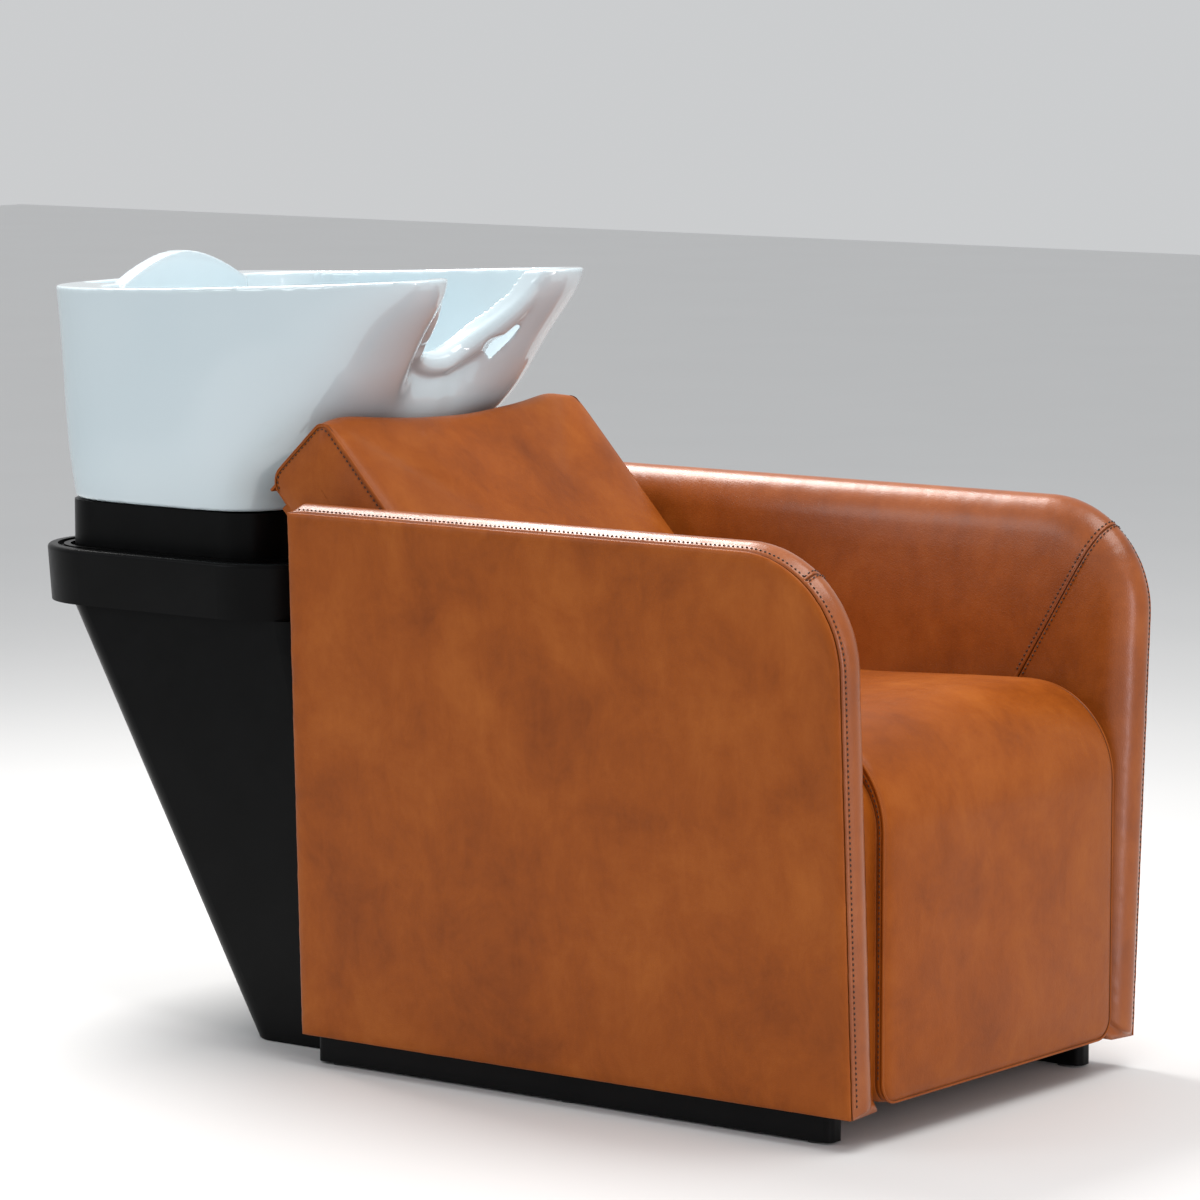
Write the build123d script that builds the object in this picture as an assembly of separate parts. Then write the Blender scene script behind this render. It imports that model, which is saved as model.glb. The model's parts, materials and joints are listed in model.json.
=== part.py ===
from build123d import *
import math
import os

os.makedirs("parts", exist_ok=True)

# A salon backwash unit. X is across the chair, the sitter's left is +X, the client faces -Y,
# the basin is at +Y and Z is up. The origin is on the floor under the middle of the whole unit.
# Every size is in millimetres.

# ---- driving dimensions -------------------------------------------------------------------
FRONT = -661.0          # front edge of the arm panels
ARM_REAR = 137.0        # rear edge of the arm panels at the bottom
ARM_REAR_TOP = 125.0    # rear edge of the arm panels at the top
ARM_BOTTOM = 38.0
ARM_TOP = 672.0         # outer seam of the arm's top
ARM_CROWN = 8.0         # how far the padded roll stands above that seam
ARM_OUTER_X = 300.0     # outer face at the bottom
ARM_THICK = 57.0
ARM_CORNER = 130.0      # radius of the arm's top front corner
ARM_SPLAY = 3.15        # degrees that each arm leans outwards
PANEL_THICK = 6.0
CORE_THICK = 18.0
CORE_INSET = 14.0
ARM_ROLL = 36.0         # rounding of the arm's inner edge
BOLT_R = 4.0
BOLT_HEAD_X = 224.0     # inner face of the seat rail
BOLT_TIP_X = 283.0
ARM_BOLT_PLACES = [(y, z) for y in (-520.0, -300.0, -60.0) for z in (110.0, 330.0)]

RUNNER_OUTER_X = 275.0
RUNNER_WIDE = 28.0
RUNNER_FRONT = -617.0
RUNNER_REAR = 134.0
GLIDE = 3.0
TUBE_WALL = 2.5

SEAT_HALF = 240.0
SEAT_FRONT = -663.0
SEAT_TOP = 465.0
SEAT_BEND = 110.0       # radius of the waterfall front
SEAT_BOTTOM = 46.0
SEAT_REAR = 40.0
SEAT_TOP_PAD = 78.0
SEAT_FRONT_PAD = 44.0
BOARD = 15.0
REAR_COVER_Y = 66.0

BACK_TOP_Y = 152.0      # top front edge of the backrest cushion
BACK_TOP_Z = 783.0
BACK_LEAN = 42.9        # degrees from vertical
BACK_THICK = 116.0
BACK_HALF = 245.0
BACK_FOOT = 468.0
BACK_DIP = 28.0         # saddle in the cushion's top edge

PIVOT_Y = 450.0         # tilt axle of the basin
PIVOT_Z = 575.0
AXLE_R = 8.0
EAR_IN = 52.0
EAR_THICK = 8.0
LUG_IN = 40.0
LUG_THICK = 10.0
BUSH_R = 11.0
RUNNING = 0.05

COLUMN_TOP = 518.0
COLUMN_FOOT = (213.0, 68.0, 298.0)      # half width, front and rear on the floor
COLUMN_HEAD = (205.0, 218.0, 608.0)     # the same under the collar
COLUMN_CORNER = 40.0
COLUMN_WALL = 4.0
COLLAR_TOP = 588.0
COLLAR_HALF = 235.0
COLLAR_FRONT = 215.0
COLLAR_REAR = 663.0
COLLAR_CORNER = 110.0
NECK_HALF = 188.0
NECK_FRONT = 300.0
NECK_REAR = 628.0
NECK_CORNER = 55.0
NECK_BOTTOM = 560.0
NECK_STEP = 643.0       # top of the neck's full width, just under the basin
SPIGOT_HALF = 160.0     # narrower top of the neck, inside the basin
SPIGOT_FRONT = 316.0
SPIGOT_REAR = 618.0
SPIGOT_CORNER = 70.0
NECK_TOP = 668.0
NECK_WALL = 3.0
NECK_GAP = 6.0

BASIN_BOTTOM = 645.0
BASIN_MID_Y = 430.0     # widest section of the basin
BASIN_WALL = 12.0
CRADLE_Z = 661.0        # top of the plate that carries the basin
CRADLE_BOLTS = [(x, y) for x in (-80.0, 80.0) for y in (375.0, 535.0)]
BOWL_FLOOR = 718.0
RIM_REAR = 911.0
RIM_RISE = 26.0         # rise of the rim towards the neck wings
LIP_Z = 836.0           # lowest point of the neck notch
LIP_RISE = 87.0
LIP_HALF = 90.0
LIP_POWER = 2.6
LIP_FRONT = 166.0
LIP_THICK = 30.0
WING_Y = 40.0           # front of the wings
SCOOP_HALF = 80.0
DECK_Z = 862.0
DECK_Y = 616.0          # line of the tap holes
SHAFT_FRONT = 598.0
SHAFT_REAR = 630.0
HUMP_TOP = 947.0
HUMP_HALF = 120.0
DRAIN_Y = 515.0
OUTLET_Y = 262.0
TRAP_Y = 512.0
TRAP_Z = 428.0
WASTE_Y = 500.0
VALVE_X = 90.0
VALVE_Z = 42.0
MIXER_X = 12.0
MIXER_TAIL = 835.0
HANDSET_X = 80.0


# ---- helpers ------------------------------------------------------------------------------
def block(x0, x1, y0, y1, z0, z1):
    """A box between two corners."""
    return Pos((x0 + x1) / 2, (y0 + y1) / 2, (z0 + z1) / 2) * Box(x1 - x0, y1 - y0, z1 - z0)


def rod_z(x, y, radius, z0, z1):
    """An upright cylinder."""
    return Pos(x, y, (z0 + z1) / 2) * Cylinder(radius, z1 - z0)


def rod_x(x0, x1, y, z, radius):
    """A cylinder along X."""
    return Pos((x0 + x1) / 2, y, z) * Rot(0, 90, 0) * Cylinder(radius, x1 - x0)


def ring_z(x, y, outer, inner, z0, z1):
    """An upright tube."""
    return rod_z(x, y, outer, z0, z1) - rod_z(x, y, inner, z0 - 1, z1 + 1)


def side_prism(outline, x0, x1):
    """A closed outline in the YZ plane, made solid from x0 to x1."""
    return extrude(Plane.YZ.offset(x0) * make_face(outline), amount=x1 - x0)


def mirrored(solid):
    """The same piece on the other side of the chair."""
    return mirror(solid, about=Plane.YZ)


def rounded_plan(half, y0, y1, radius, z):
    """A rounded rectangle in plan, centred on the chair's middle line."""
    return Pos(0, (y0 + y1) / 2, z) * RectangleRounded(2 * half, y1 - y0, radius)


def rounded_prism(half, y0, y1, radius, z0, z1):
    """A rounded rectangle in plan, made solid between two heights."""
    return extrude(rounded_plan(half, y0, y1, radius, z0), amount=z1 - z0)


def column_at(z):
    """Half width, front and rear of the column at a height."""
    share = z / COLUMN_TOP
    return [low + share * (high - low) for low, high in zip(COLUMN_FOOT, COLUMN_HEAD)]


def save(name, shape):
    """Write one sub-part."""
    export_step(shape, f"parts/{name}.step")


def save_group(name, pieces):
    """Write identical or paired pieces as one node of separate solids."""
    save(name, Compound(children=pieces))


# ---- arms ---------------------------------------------------------------------------------
def arm_outline(grow, crown):
    """Side view of an arm: square at the rear, a large round at the top front."""
    front = FRONT - grow
    low = ARM_BOTTOM - min(grow, 0)
    top = ARM_TOP + grow + crown
    corner = ARM_CORNER + grow
    return [
        Polyline((ARM_REAR_TOP + grow, top), (ARM_REAR + grow, low), (front, low), (front, top - corner)),
        RadiusArc((front, top - corner), (front + corner, top), corner),
        Line((front + corner, top), (ARM_REAR_TOP + grow, top)),
    ]


def splayed(solid):
    """Lean a left-hand arm piece outwards about its bottom outer edge."""
    foot = Pos(ARM_OUTER_X, 0, ARM_BOTTOM)
    return foot * Rot(0, ARM_SPLAY, 0) * foot.inverse() * solid


def drilled(solid, radius):
    """The solid with clearance holes for the level bolts between seat rail and arm."""
    for y, z in ARM_BOLT_PLACES:
        solid -= rod_x(BOLT_HEAD_X - 20, BOLT_TIP_X + 1, y, z, radius)
    return solid


def arm_outer_panel():
    return splayed(side_prism(arm_outline(-0.5, 0), ARM_OUTER_X - PANEL_THICK, ARM_OUTER_X))


def arm_core():
    inner = ARM_OUTER_X - PANEL_THICK - CORE_THICK
    core = side_prism(arm_outline(-CORE_INSET, 0), inner, ARM_OUTER_X - PANEL_THICK)
    return drilled(splayed(core), BOLT_R + 0.1)


def arm_pad():
    inner = ARM_OUTER_X - ARM_THICK
    pad = side_prism(arm_outline(0, ARM_CROWN), inner, ARM_OUTER_X - PANEL_THICK)
    rounded = pad.faces().sort_by(Axis.X)[0].edges()
    rounded = [e for e in rounded if e.center().Z > ARM_BOTTOM + 5 and e.center().Y < 100]
    pad = fillet(rounded, ARM_ROLL)
    pad -= side_prism(arm_outline(-CORE_INSET, 0), ARM_OUTER_X - PANEL_THICK - CORE_THICK, ARM_OUTER_X)
    return drilled(splayed(pad), BOLT_R + 0.6)


def arm_bolts():
    bolts = []
    for y, z in ARM_BOLT_PLACES:
        shank = rod_x(BOLT_HEAD_X, BOLT_TIP_X, y, z, BOLT_R)
        bolts.append(shank + rod_x(BOLT_HEAD_X - 5, BOLT_HEAD_X, y, z, 2 * BOLT_R))
    return bolts


# ---- chair base ---------------------------------------------------------------------------
def runner():
    x0 = RUNNER_OUTER_X - RUNNER_WIDE
    bar = block(x0, RUNNER_OUTER_X, RUNNER_FRONT, RUNNER_REAR, GLIDE, ARM_BOTTOM - 0.5)
    bar = fillet(bar.edges().filter_by(Axis.Z), 10)
    hollow = block(x0 + TUBE_WALL, RUNNER_OUTER_X - TUBE_WALL, RUNNER_FRONT + 12, RUNNER_REAR - 12,
                   GLIDE + TUBE_WALL, ARM_BOTTOM - 0.5 - TUBE_WALL)
    return bar - hollow


def cross_rail(y):
    x = RUNNER_OUTER_X - RUNNER_WIDE
    rail = block(-x, x, y - 18, y + 18, 12, ARM_BOTTOM - 1)
    return rail - block(-x - 1, x + 1, y - 15.5, y + 15.5, 14.5, ARM_BOTTOM - 3.5)


def floor_glides():
    x = RUNNER_OUTER_X - RUNNER_WIDE / 2
    return [rod_z(side * x, y, 11, 0, GLIDE) for side in (-1, 1) for y in (-590.0, -240.0, 105.0)]


def link_straps():
    """Flat steel straps from the rear cross rail to the column's base plate."""
    return [block(x - 20, x + 20, 20, 120, 6.2, 11.2) for x in (-110, 110)]


# ---- seat ---------------------------------------------------------------------------------
def seat_profile(grow, rear, thick_top, thick_front):
    """Side view of the one-piece cushion: a top pad that rolls over into the front pad."""
    front = SEAT_FRONT - grow
    top = SEAT_TOP + grow
    bend = SEAT_BEND + grow
    inner_bend = bend - thick_front
    return [
        Polyline((rear, top - thick_top), (rear, top), (front + bend, top)),
        RadiusArc((front + bend, top), (front, top - bend), -bend),
        Line((front, top - bend), (front, SEAT_BOTTOM + 22)),
        RadiusArc((front, SEAT_BOTTOM + 22), (front + 22, SEAT_BOTTOM), -22),
        Polyline((front + 22, SEAT_BOTTOM), (front + thick_front, SEAT_BOTTOM),
                 (front + thick_front, top - thick_top - inner_bend)),
        RadiusArc((front + thick_front, top - thick_top - inner_bend),
                  (front + thick_front + inner_bend, top - thick_top), inner_bend),
        Line((front + thick_front + inner_bend, top - thick_top), (rear, top - thick_top)),
    ]


def seat_cushion():
    pad = side_prism(seat_profile(0, SEAT_REAR, SEAT_TOP_PAD, SEAT_FRONT_PAD), -SEAT_HALF, SEAT_HALF)
    outer = [e for side in (0, -1) for e in pad.faces().sort_by(Axis.X)[side].edges()]
    skin = [e for e in outer if e.center().Y < SEAT_FRONT + 1 or e.center().Z > SEAT_TOP - 1
            or (e.geom_type == GeomType.CIRCLE and e.center().Z > SEAT_TOP - 50)]
    return fillet(skin, 12)


def seat_deck():
    z = SEAT_TOP - SEAT_TOP_PAD
    return block(-SEAT_HALF + 1, SEAT_HALF - 1, SEAT_FRONT + 112, SEAT_REAR - 22, z - BOARD, z)


def seat_front_board():
    y = SEAT_FRONT + SEAT_FRONT_PAD
    return block(-SEAT_HALF + 1, SEAT_HALF - 1, y, y + BOARD, SEAT_BOTTOM, 318)


def seat_rear_board():
    z = SEAT_TOP - SEAT_TOP_PAD - BOARD
    return block(-SEAT_HALF + 1, SEAT_HALF - 1, SEAT_REAR - 40, SEAT_REAR - 40 + BOARD, SEAT_BOTTOM, z)


def arm_face_x(z):
    """Inner face of the left arm at a height, less a small gap."""
    return ARM_OUTER_X - ARM_THICK - 0.6 + (z - ARM_BOTTOM) * math.tan(math.radians(ARM_SPLAY))


def seat_side_cover():
    """Leather-covered side of the seat body, filling the wedge between the cushion and the arm."""
    low, high = SEAT_BOTTOM, SEAT_TOP - 12
    inner = SEAT_HALF + 0.6
    section = Polyline((inner, low), (arm_face_x(low), low), (arm_face_x(high), high), (inner, high),
                       close=True)
    wedge = extrude(Plane.XZ.offset(-SEAT_REAR + 2) * make_face(section), amount=SEAT_REAR - 2 - SEAT_FRONT - 12)
    bend = SEAT_BEND - 12
    front = SEAT_FRONT + 12
    outline = [
        Polyline((SEAT_REAR, low - 5), (SEAT_REAR, high), (front + bend, high)),
        RadiusArc((front + bend, high), (front, high - bend), -bend),
        Polyline((front, high - bend), (front, low - 5), (SEAT_REAR, low - 5)),
    ]
    wedge &= side_prism(outline, 0, 400)
    return drilled(wedge, BOLT_R + 0.2)


def seat_side_rail():
    z = SEAT_TOP - SEAT_TOP_PAD - BOARD
    rail = block(SEAT_HALF - BOARD - 1, SEAT_HALF - 1, SEAT_FRONT + 112, SEAT_REAR - 41, SEAT_BOTTOM, z)
    return drilled(rail, BOLT_R + 0.2)


def rear_cover():
    """Leather-covered board that closes the chair's back between the arms."""
    low, high = SEAT_BOTTOM, BACK_FOOT + 3
    section = Polyline((-arm_face_x(low), low), (arm_face_x(low), low), (arm_face_x(high), high),
                       (-arm_face_x(high), high), close=True)
    return extrude(Plane.XZ.offset(-REAR_COVER_Y) * make_face(section), amount=12)


# ---- backrest -----------------------------------------------------------------------------
def lean_vectors():
    """Unit vectors of the backrest in the YZ plane: down along the face, and back through it."""
    lean = math.radians(BACK_LEAN)
    down = (-math.sin(lean), -math.cos(lean))
    back = (math.cos(lean), -math.sin(lean))
    return down, back


def back_point(along, through):
    """A point in the backrest's side view, measured from the cushion's top front edge."""
    down, back = lean_vectors()
    y = BACK_TOP_Y + along * down[0] + through * back[0]
    z = BACK_TOP_Z + along * down[1] + through * back[1]
    return y, z


def back_slab(through0, through1, along0, foot, half):
    """A leaning slab cut off level at its foot."""
    down, back = lean_vectors()
    ends = []
    for through in (through0, through1):
        z_top = back_point(along0, through)[1]
        ends.append(back_point(along0 + (z_top - foot) / -down[1], through))
    outline = Polyline(back_point(along0, through0), back_point(along0, through1), ends[1], ends[0],
                       close=True)
    return side_prism(outline, -half, half)


def backrest_cushion():
    """Leaning pad with a shallow saddle in its top edge."""
    pad = back_slab(0, BACK_THICK, 0, BACK_FOOT, BACK_HALF)
    pad = fillet(pad.edges().filter_by(Axis.X).sort_by(Axis.Z)[-2:], 14)
    radius = (BACK_HALF ** 2 + BACK_DIP ** 2) / (2 * BACK_DIP)
    y, z = back_point(BACK_DIP - radius, BACK_THICK / 2)
    saddle = Pos(0, y, z) * Rot(-90 - BACK_LEAN, 0, 0) * Cylinder(radius, BACK_THICK * 3)
    return pad - saddle


def backrest_board():
    return back_slab(BACK_THICK + 0.3, BACK_THICK + 0.3 + BOARD, 45, BACK_FOOT + 4, BACK_HALF - 12)


def backrest_bracket():
    """Steel angle from the back of the board to the inner face of the left arm."""
    through = BACK_THICK + 0.3 + BOARD
    foot = back_slab(through, through + 4, 150, BACK_FOOT + 60, BACK_HALF - 12)
    foot &= block(BACK_HALF - 80, BACK_HALF + 60, -400, 400, 0, 900)
    z0, z1 = BACK_FOOT + 50, BACK_FOOT + 160
    x0, x1 = arm_face_x(z0), arm_face_x(z1)
    section = Polyline((x0 - 4, z0), (x0, z0), (x1, z1), (x1 - 4, z1), close=True)
    y_mid = back_point(260, through)[0]
    wing = extrude(Plane.XZ.offset(-ARM_REAR + 20) * make_face(section), amount=ARM_REAR - 20 - y_mid)
    wing -= back_slab(-300, through, -200, 300, 400)
    bridge = back_slab(through, through + 4, 185, BACK_FOOT + 60, x1 - 3)
    bridge &= block(BACK_HALF - 80, x0 - 1, -400, 400, 0, 900)
    return foot + wing + bridge


def backrest_screws():
    through = BACK_THICK + 0.3 + BOARD + 4
    screws = []
    for side in (-1, 1):
        for along in (200.0, 250.0):
            y, z = back_point(along, through)
            place = Pos(side * 205, y, z) * Rot(-90 - BACK_LEAN, 0, 0)
            screws.append(place * Cylinder(6, 3, align=(Align.CENTER, Align.CENTER, Align.MIN)))
    return screws


def backrest_zip_tab():
    y, z = back_point(16, BACK_THICK + 0.5)
    tab = Pos(-BACK_HALF + 20, y, z) * Rot(-BACK_LEAN, 0, 0)
    return tab * Box(10, 16, 3, align=(Align.CENTER, Align.MIN, Align.CENTER))


# ---- column -------------------------------------------------------------------------------
def column_solid(inset, z0, z1):
    """The leaning column between two heights, shrunk by an inset on every side."""
    faces = []
    for z in (z0, z1):
        half, front, rear = column_at(z)
        faces.append(rounded_plan(half - inset, front + inset, rear - inset, COLUMN_CORNER - inset, z))
    return loft(faces)


def service_window(grow, inset0, inset1):
    """A slice of the column's rear wall, for the service opening and its cover."""
    slab = column_solid(inset0, 60, 470) - column_solid(inset1, 59.9, 470.1)
    return slab & block(-110 - grow, 110 + grow, 300, 620, 130 - grow, 430 + grow)


def column_shell():
    shell = column_solid(0, 1, COLUMN_TOP) - column_solid(COLUMN_WALL, 0, COLUMN_TOP + 1)
    shell -= service_window(0, -2, COLUMN_WALL + 2)
    return shell - block(-140, 140, 0, 110, -1, 30)


def service_panel():
    """Cover that closes the service opening, with a flange inside the wall."""
    behind = COLUMN_WALL + 0.3
    return service_window(-0.8, 0, behind) + service_window(10, behind, behind + 2)


def service_screws():
    lean = math.degrees(math.atan((COLUMN_HEAD[2] - COLUMN_FOOT[2]) / COLUMN_TOP))
    screws = []
    for x in (-95.0, 95.0):
        for z in (150.0, 410.0):
            place = Pos(x, column_at(z)[2] + 0.2, z) * Rot(-90 - lean, 0, 0)
            screws.append(place * Cylinder(5, 2.5, align=(Align.CENTER, Align.CENTER, Align.MIN)))
    return screws


def column_base_plate():
    plate = rounded_prism(190, 80, 232, 12, 0, 6)
    for x in (-160.0, 160.0):
        for y in (100.0, 212.0):
            plate -= rod_z(x, y, 5.5, -1, 7)
    return plate


def column_post():
    low, high = 6.0, 505.0
    outer = loft([Pos(0, 160, low) * Rectangle(80, 50), Pos(0, 430, high) * Rectangle(80, 50)])
    inner = loft([Pos(0, 160, low) * Rectangle(72, 42), Pos(0, 430, high) * Rectangle(72, 42)])
    return outer - inner


def pivot_yoke():
    yoke = block(-EAR_IN - EAR_THICK, EAR_IN + EAR_THICK, 404, 474, 505, 513)
    for side in (-1, 1):
        x0, x1 = sorted((side * EAR_IN, side * (EAR_IN + EAR_THICK)))
        ear = block(x0, x1, PIVOT_Y - 22, PIVOT_Y + 22, 513, PIVOT_Z) + rod_x(x0, x1, PIVOT_Y, PIVOT_Z, 22)
        yoke += ear
    return yoke - rod_x(-100, 100, PIVOT_Y, PIVOT_Z, AXLE_R + RUNNING)


def tilt_axle():
    return rod_x(-78, 78, PIVOT_Y, PIVOT_Z, AXLE_R)


def axle_nuts():
    nuts = []
    for side in (-1, 1):
        hexagon = Plane.YZ.offset(side * 60.3) * Pos(PIVOT_Y, PIVOT_Z) * RegularPolygon(14, 6)
        nuts.append(extrude(hexagon, amount=side * 12) - rod_x(-90, 90, PIVOT_Y, PIVOT_Z, AXLE_R))
    return nuts


def friction_washers():
    washers = []
    for side in (-1, 1):
        x0, x1 = sorted((side * (LUG_IN + LUG_THICK + 0.1), side * (EAR_IN - 0.1)))
        washers.append(rod_x(x0, x1, PIVOT_Y, PIVOT_Z, 18)
                       - rod_x(x0 - 1, x1 + 1, PIVOT_Y, PIVOT_Z, AXLE_R + 0.1))
    return washers


def column_collar():
    """Tray on top of the column: outer lip, groove and an inner ring round the neck."""
    base = COLUMN_TOP
    outer = rounded_plan(COLLAR_HALF - 5, COLLAR_FRONT + 5, COLLAR_REAR - 5, COLLAR_CORNER - 5, base)
    top = rounded_plan(COLLAR_HALF, COLLAR_FRONT, COLLAR_REAR, COLLAR_CORNER, COLLAR_TOP)
    body = loft([outer, top])
    body = fillet(body.faces().sort_by(Axis.Z)[-1].edges(), 5)
    hole = rounded_prism(NECK_HALF + NECK_GAP, NECK_FRONT - NECK_GAP, NECK_REAR + NECK_GAP,
                         NECK_CORNER + NECK_GAP, base - 1, COLLAR_TOP + 1)
    groove = rounded_prism(COLLAR_HALF - 13, COLLAR_FRONT + 13, COLLAR_REAR - 13, COLLAR_CORNER - 13,
                           COLLAR_TOP - 5, COLLAR_TOP + 1)
    groove -= rounded_prism(NECK_HALF + 14, NECK_FRONT - 14, NECK_REAR + 14, NECK_CORNER + 14,
                            COLLAR_TOP - 6, COLLAR_TOP - 1.5)
    under = rounded_prism(COLLAR_HALF - 12, COLLAR_FRONT + 12, COLLAR_REAR - 12, COLLAR_CORNER - 12,
                          base - 1, COLLAR_TOP - 10)
    under -= rounded_prism(NECK_HALF + 12, NECK_FRONT - 12, NECK_REAR + 12, NECK_CORNER + 12,
                           base - 2, COLLAR_TOP - 9)
    under -= column_solid(-1, base - 2, base) + block(-300, 300, 0, 700, base - 2, base + 4)
    return body - hole - groove - under


def waste_boot():
    """Ribbed rubber boot that takes the moving tail, with room for its swing."""
    boot = ring_z(0, TRAP_Y, 33, 30, 504, 590)
    for rib in range(5):
        boot += ring_z(0, TRAP_Y, 36, 30, 520 + 12 * rib, 525 + 12 * rib)
    return boot


def waste_trap():
    trap = rod_z(0, TRAP_Y, 34, TRAP_Z, 504) - rod_z(0, TRAP_Y, 31, TRAP_Z + 3, 501)
    return trap - rod_z(0, TRAP_Y, 26, 500, 510) - rod_z(0, WASTE_Y, 17, TRAP_Z - 5, TRAP_Z + 5)


def waste_pipe_path():
    points = [(0, WASTE_Y, TRAP_Z), (0, WASTE_Y, 395), (0, OUTLET_Y, 110), (0, OUTLET_Y, 4)]
    return FilletPolyline(*points, radius=[38.0, 70.0])


def waste_pipe():
    path = waste_pipe_path()
    start = Plane(origin=(0, WASTE_Y, TRAP_Z), z_dir=(0, 0, -1))
    return sweep(start * Circle(20), path=path) - sweep(start * Circle(17), path=path)


def stop_valve(side):
    x = side * VALVE_X
    valve = rod_z(x, OUTLET_Y, 10.5, 3, 17) + rod_z(x, OUTLET_Y, 13, 17, 56) + rod_z(x, OUTLET_Y, 7, 56, 72)
    x0, x1 = sorted((x, x + side * 26))
    return valve + rod_x(x0, x1, OUTLET_Y, VALVE_Z, 7)


def valve_handle(side):
    """Fluted quarter-turn knob on the end of a stop valve's stem."""
    x = side * (VALVE_X + 26.3)
    x0, x1 = sorted((x, x + side * 12))
    knob = rod_x(x0, x1, OUTLET_Y, VALVE_Z, 13)
    for step in range(8):
        turn = math.pi * step / 4
        knob -= rod_x(x0 - 1, x1 + 1, OUTLET_Y + 15 * math.cos(turn), VALVE_Z + 15 * math.sin(turn), 3.5)
    return knob


def valve_clamp():
    """Steel bar that holds the two stop valves to the base plate."""
    bar = block(-VALVE_X - 24, VALVE_X + 24, 220, OUTLET_Y + 18, 20, 25)
    bar -= rod_z(0, OUTLET_Y, 32, 0, 60)
    for side in (-1, 1):
        bar -= rod_z(side * VALVE_X, OUTLET_Y, 13.1, 0, 60)
    foot = block(-60, 60, 220, 225, 6, 20)
    return bar + foot


def supply_hose(side):
    """Braided hose from a stop valve up the column and the neck to the mixer."""
    x = side * VALVE_X
    end = MIXER_X + side * 5.3
    points = [(x, OUTLET_Y, 72.3), (x, OUTLET_Y + 1, 120), (x * 0.9, 385, 300), (x * 0.8, 500, 470),
              (x * 0.55, 578, 590), (x * 0.25, 600, 655), (end, 613, 735), (end, 614, MIXER_TAIL - 0.3)]
    path = FilletPolyline(*points, radius=[60.0, 140.0, 160.0, 110.0, 80.0, 90.0])
    start = Plane(origin=points[0], z_dir=path % 0)
    return sweep(start * Circle(5), path=path)


# ---- basin head ---------------------------------------------------------------------------
# rows: height, front, rear, half width, squareness of the plan, depth of the front's scoop
BASIN_SECTIONS = [
    (645, 290, 641, 200, 4.4, 0),
    (690, 258, 645, 207, 4.4, 0),
    (757, 165, 650, 213, 4.3, 8),
    (831, 108, 653, 215, 4.4, 62),
    (884, 66, 656, 217, 4.5, 98),
    (955, 36, 659, 218, 4.6, 130),
]
BOWL_SECTIONS = [
    (BOWL_FLOOR, 330, 562, 120, 2.4, 0),
    (757, 235, 572, 172, 2.9, 0),
    (831, 138, 578, 197, 3.6, 0),
    (884, 94, 582, 201, 4.2, 0),
    (960, 54, 586, 204, 4.6, 0),
]
# directions of the plan points from the front, in degrees: closer together across the scoop
PLAN_TURNS = (0.4, 2, 5, 10, 17, 26, 38, 52, 67, 82, 98, 113, 128, 143, 158, 173)


def scoop_share(x):
    """How much of the scoop's depth is reached at a distance from the middle, from 0 to 1."""
    return 1 / (1 + (abs(x) / SCOOP_HALF) ** 5)


def plan_curve(z, front, rear, half, square, scoop):
    """A closed plan outline with squared-off corners and a hollowed front, at one height."""
    points = []
    for turn in [*PLAN_TURNS, *(-turn for turn in reversed(PLAN_TURNS))]:
        across, back = math.sin(math.radians(turn)), -math.cos(math.radians(turn))
        reach = rear - BASIN_MID_Y if back > 0 else BASIN_MID_Y - front
        x = half * math.copysign(abs(across) ** (2 / square), across)
        y = BASIN_MID_Y + reach * math.copysign(abs(back) ** (2 / square), back)
        if back < 0:
            y += scoop * scoop_share(x)
        points.append((x, y, z))
    return make_face(Spline(*points, periodic=True))


def lofted(sections):
    """A smooth body through a stack of plan outlines."""
    return loft([plan_curve(*row) for row in sections])


def behind_lip():
    """Space in front of the neck lip's inner face, which the bowl stays out of."""
    xs = [-230, -180, -140, -110, -85, -55, 0, 55, 85, 110, 140, 180, 230]
    wall = [(x, WING_Y + (LIP_FRONT - WING_Y) * scoop_share(x) + LIP_THICK) for x in xs]
    outline = [Spline(*wall), Polyline(wall[-1], (230, -90), (-230, -90), wall[0])]
    return extrude(Pos(0, 0, 600) * make_face(outline), amount=400)


def lip_height(x):
    """Height of the neck notch's edge."""
    return LIP_Z + LIP_RISE * (abs(x) / LIP_HALF) ** LIP_POWER


def neck_notch():
    """Dip in the front wall that the client's neck rests in."""
    xs = [-112, -90, -60, -30, 0, 30, 60, 90, 112]
    edge = Spline(*[(x, lip_height(x)) for x in xs])
    end = lip_height(xs[-1])
    outline = [edge, Polyline((xs[-1], end), (xs[-1], 1000), (xs[0], 1000), (xs[0], end))]
    return extrude(Plane.XZ * make_face(outline), amount=-235)


def above_rim():
    """Everything above the rim, which rises towards the neck wings."""
    ys = [700, 600, 460, 320, 180, 60, 0]
    rise = [(y, RIM_REAR + RIM_RISE * max(0, (570 - y) / 500) ** 1.2) for y in ys]
    outline = [Spline(*rise), Polyline(rise[-1], (0, 1000), (700, 1000), rise[0])]
    return side_prism(outline, -300, 300)


def hump():
    """Arched splash guard between the bowl and the tap deck."""
    arch = [Spline((-HUMP_HALF, RIM_REAR - 4), (-60, HUMP_TOP - 12), (0, HUMP_TOP), (60, HUMP_TOP - 12),
                   (HUMP_HALF, RIM_REAR - 4)),
            Polyline((HUMP_HALF, RIM_REAR - 4), (HUMP_HALF, 880), (-HUMP_HALF, 880),
                     (-HUMP_HALF, RIM_REAR - 4))]
    return extrude(Plane.XZ.offset(-SHAFT_FRONT) * make_face(arch), amount=24)


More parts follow.
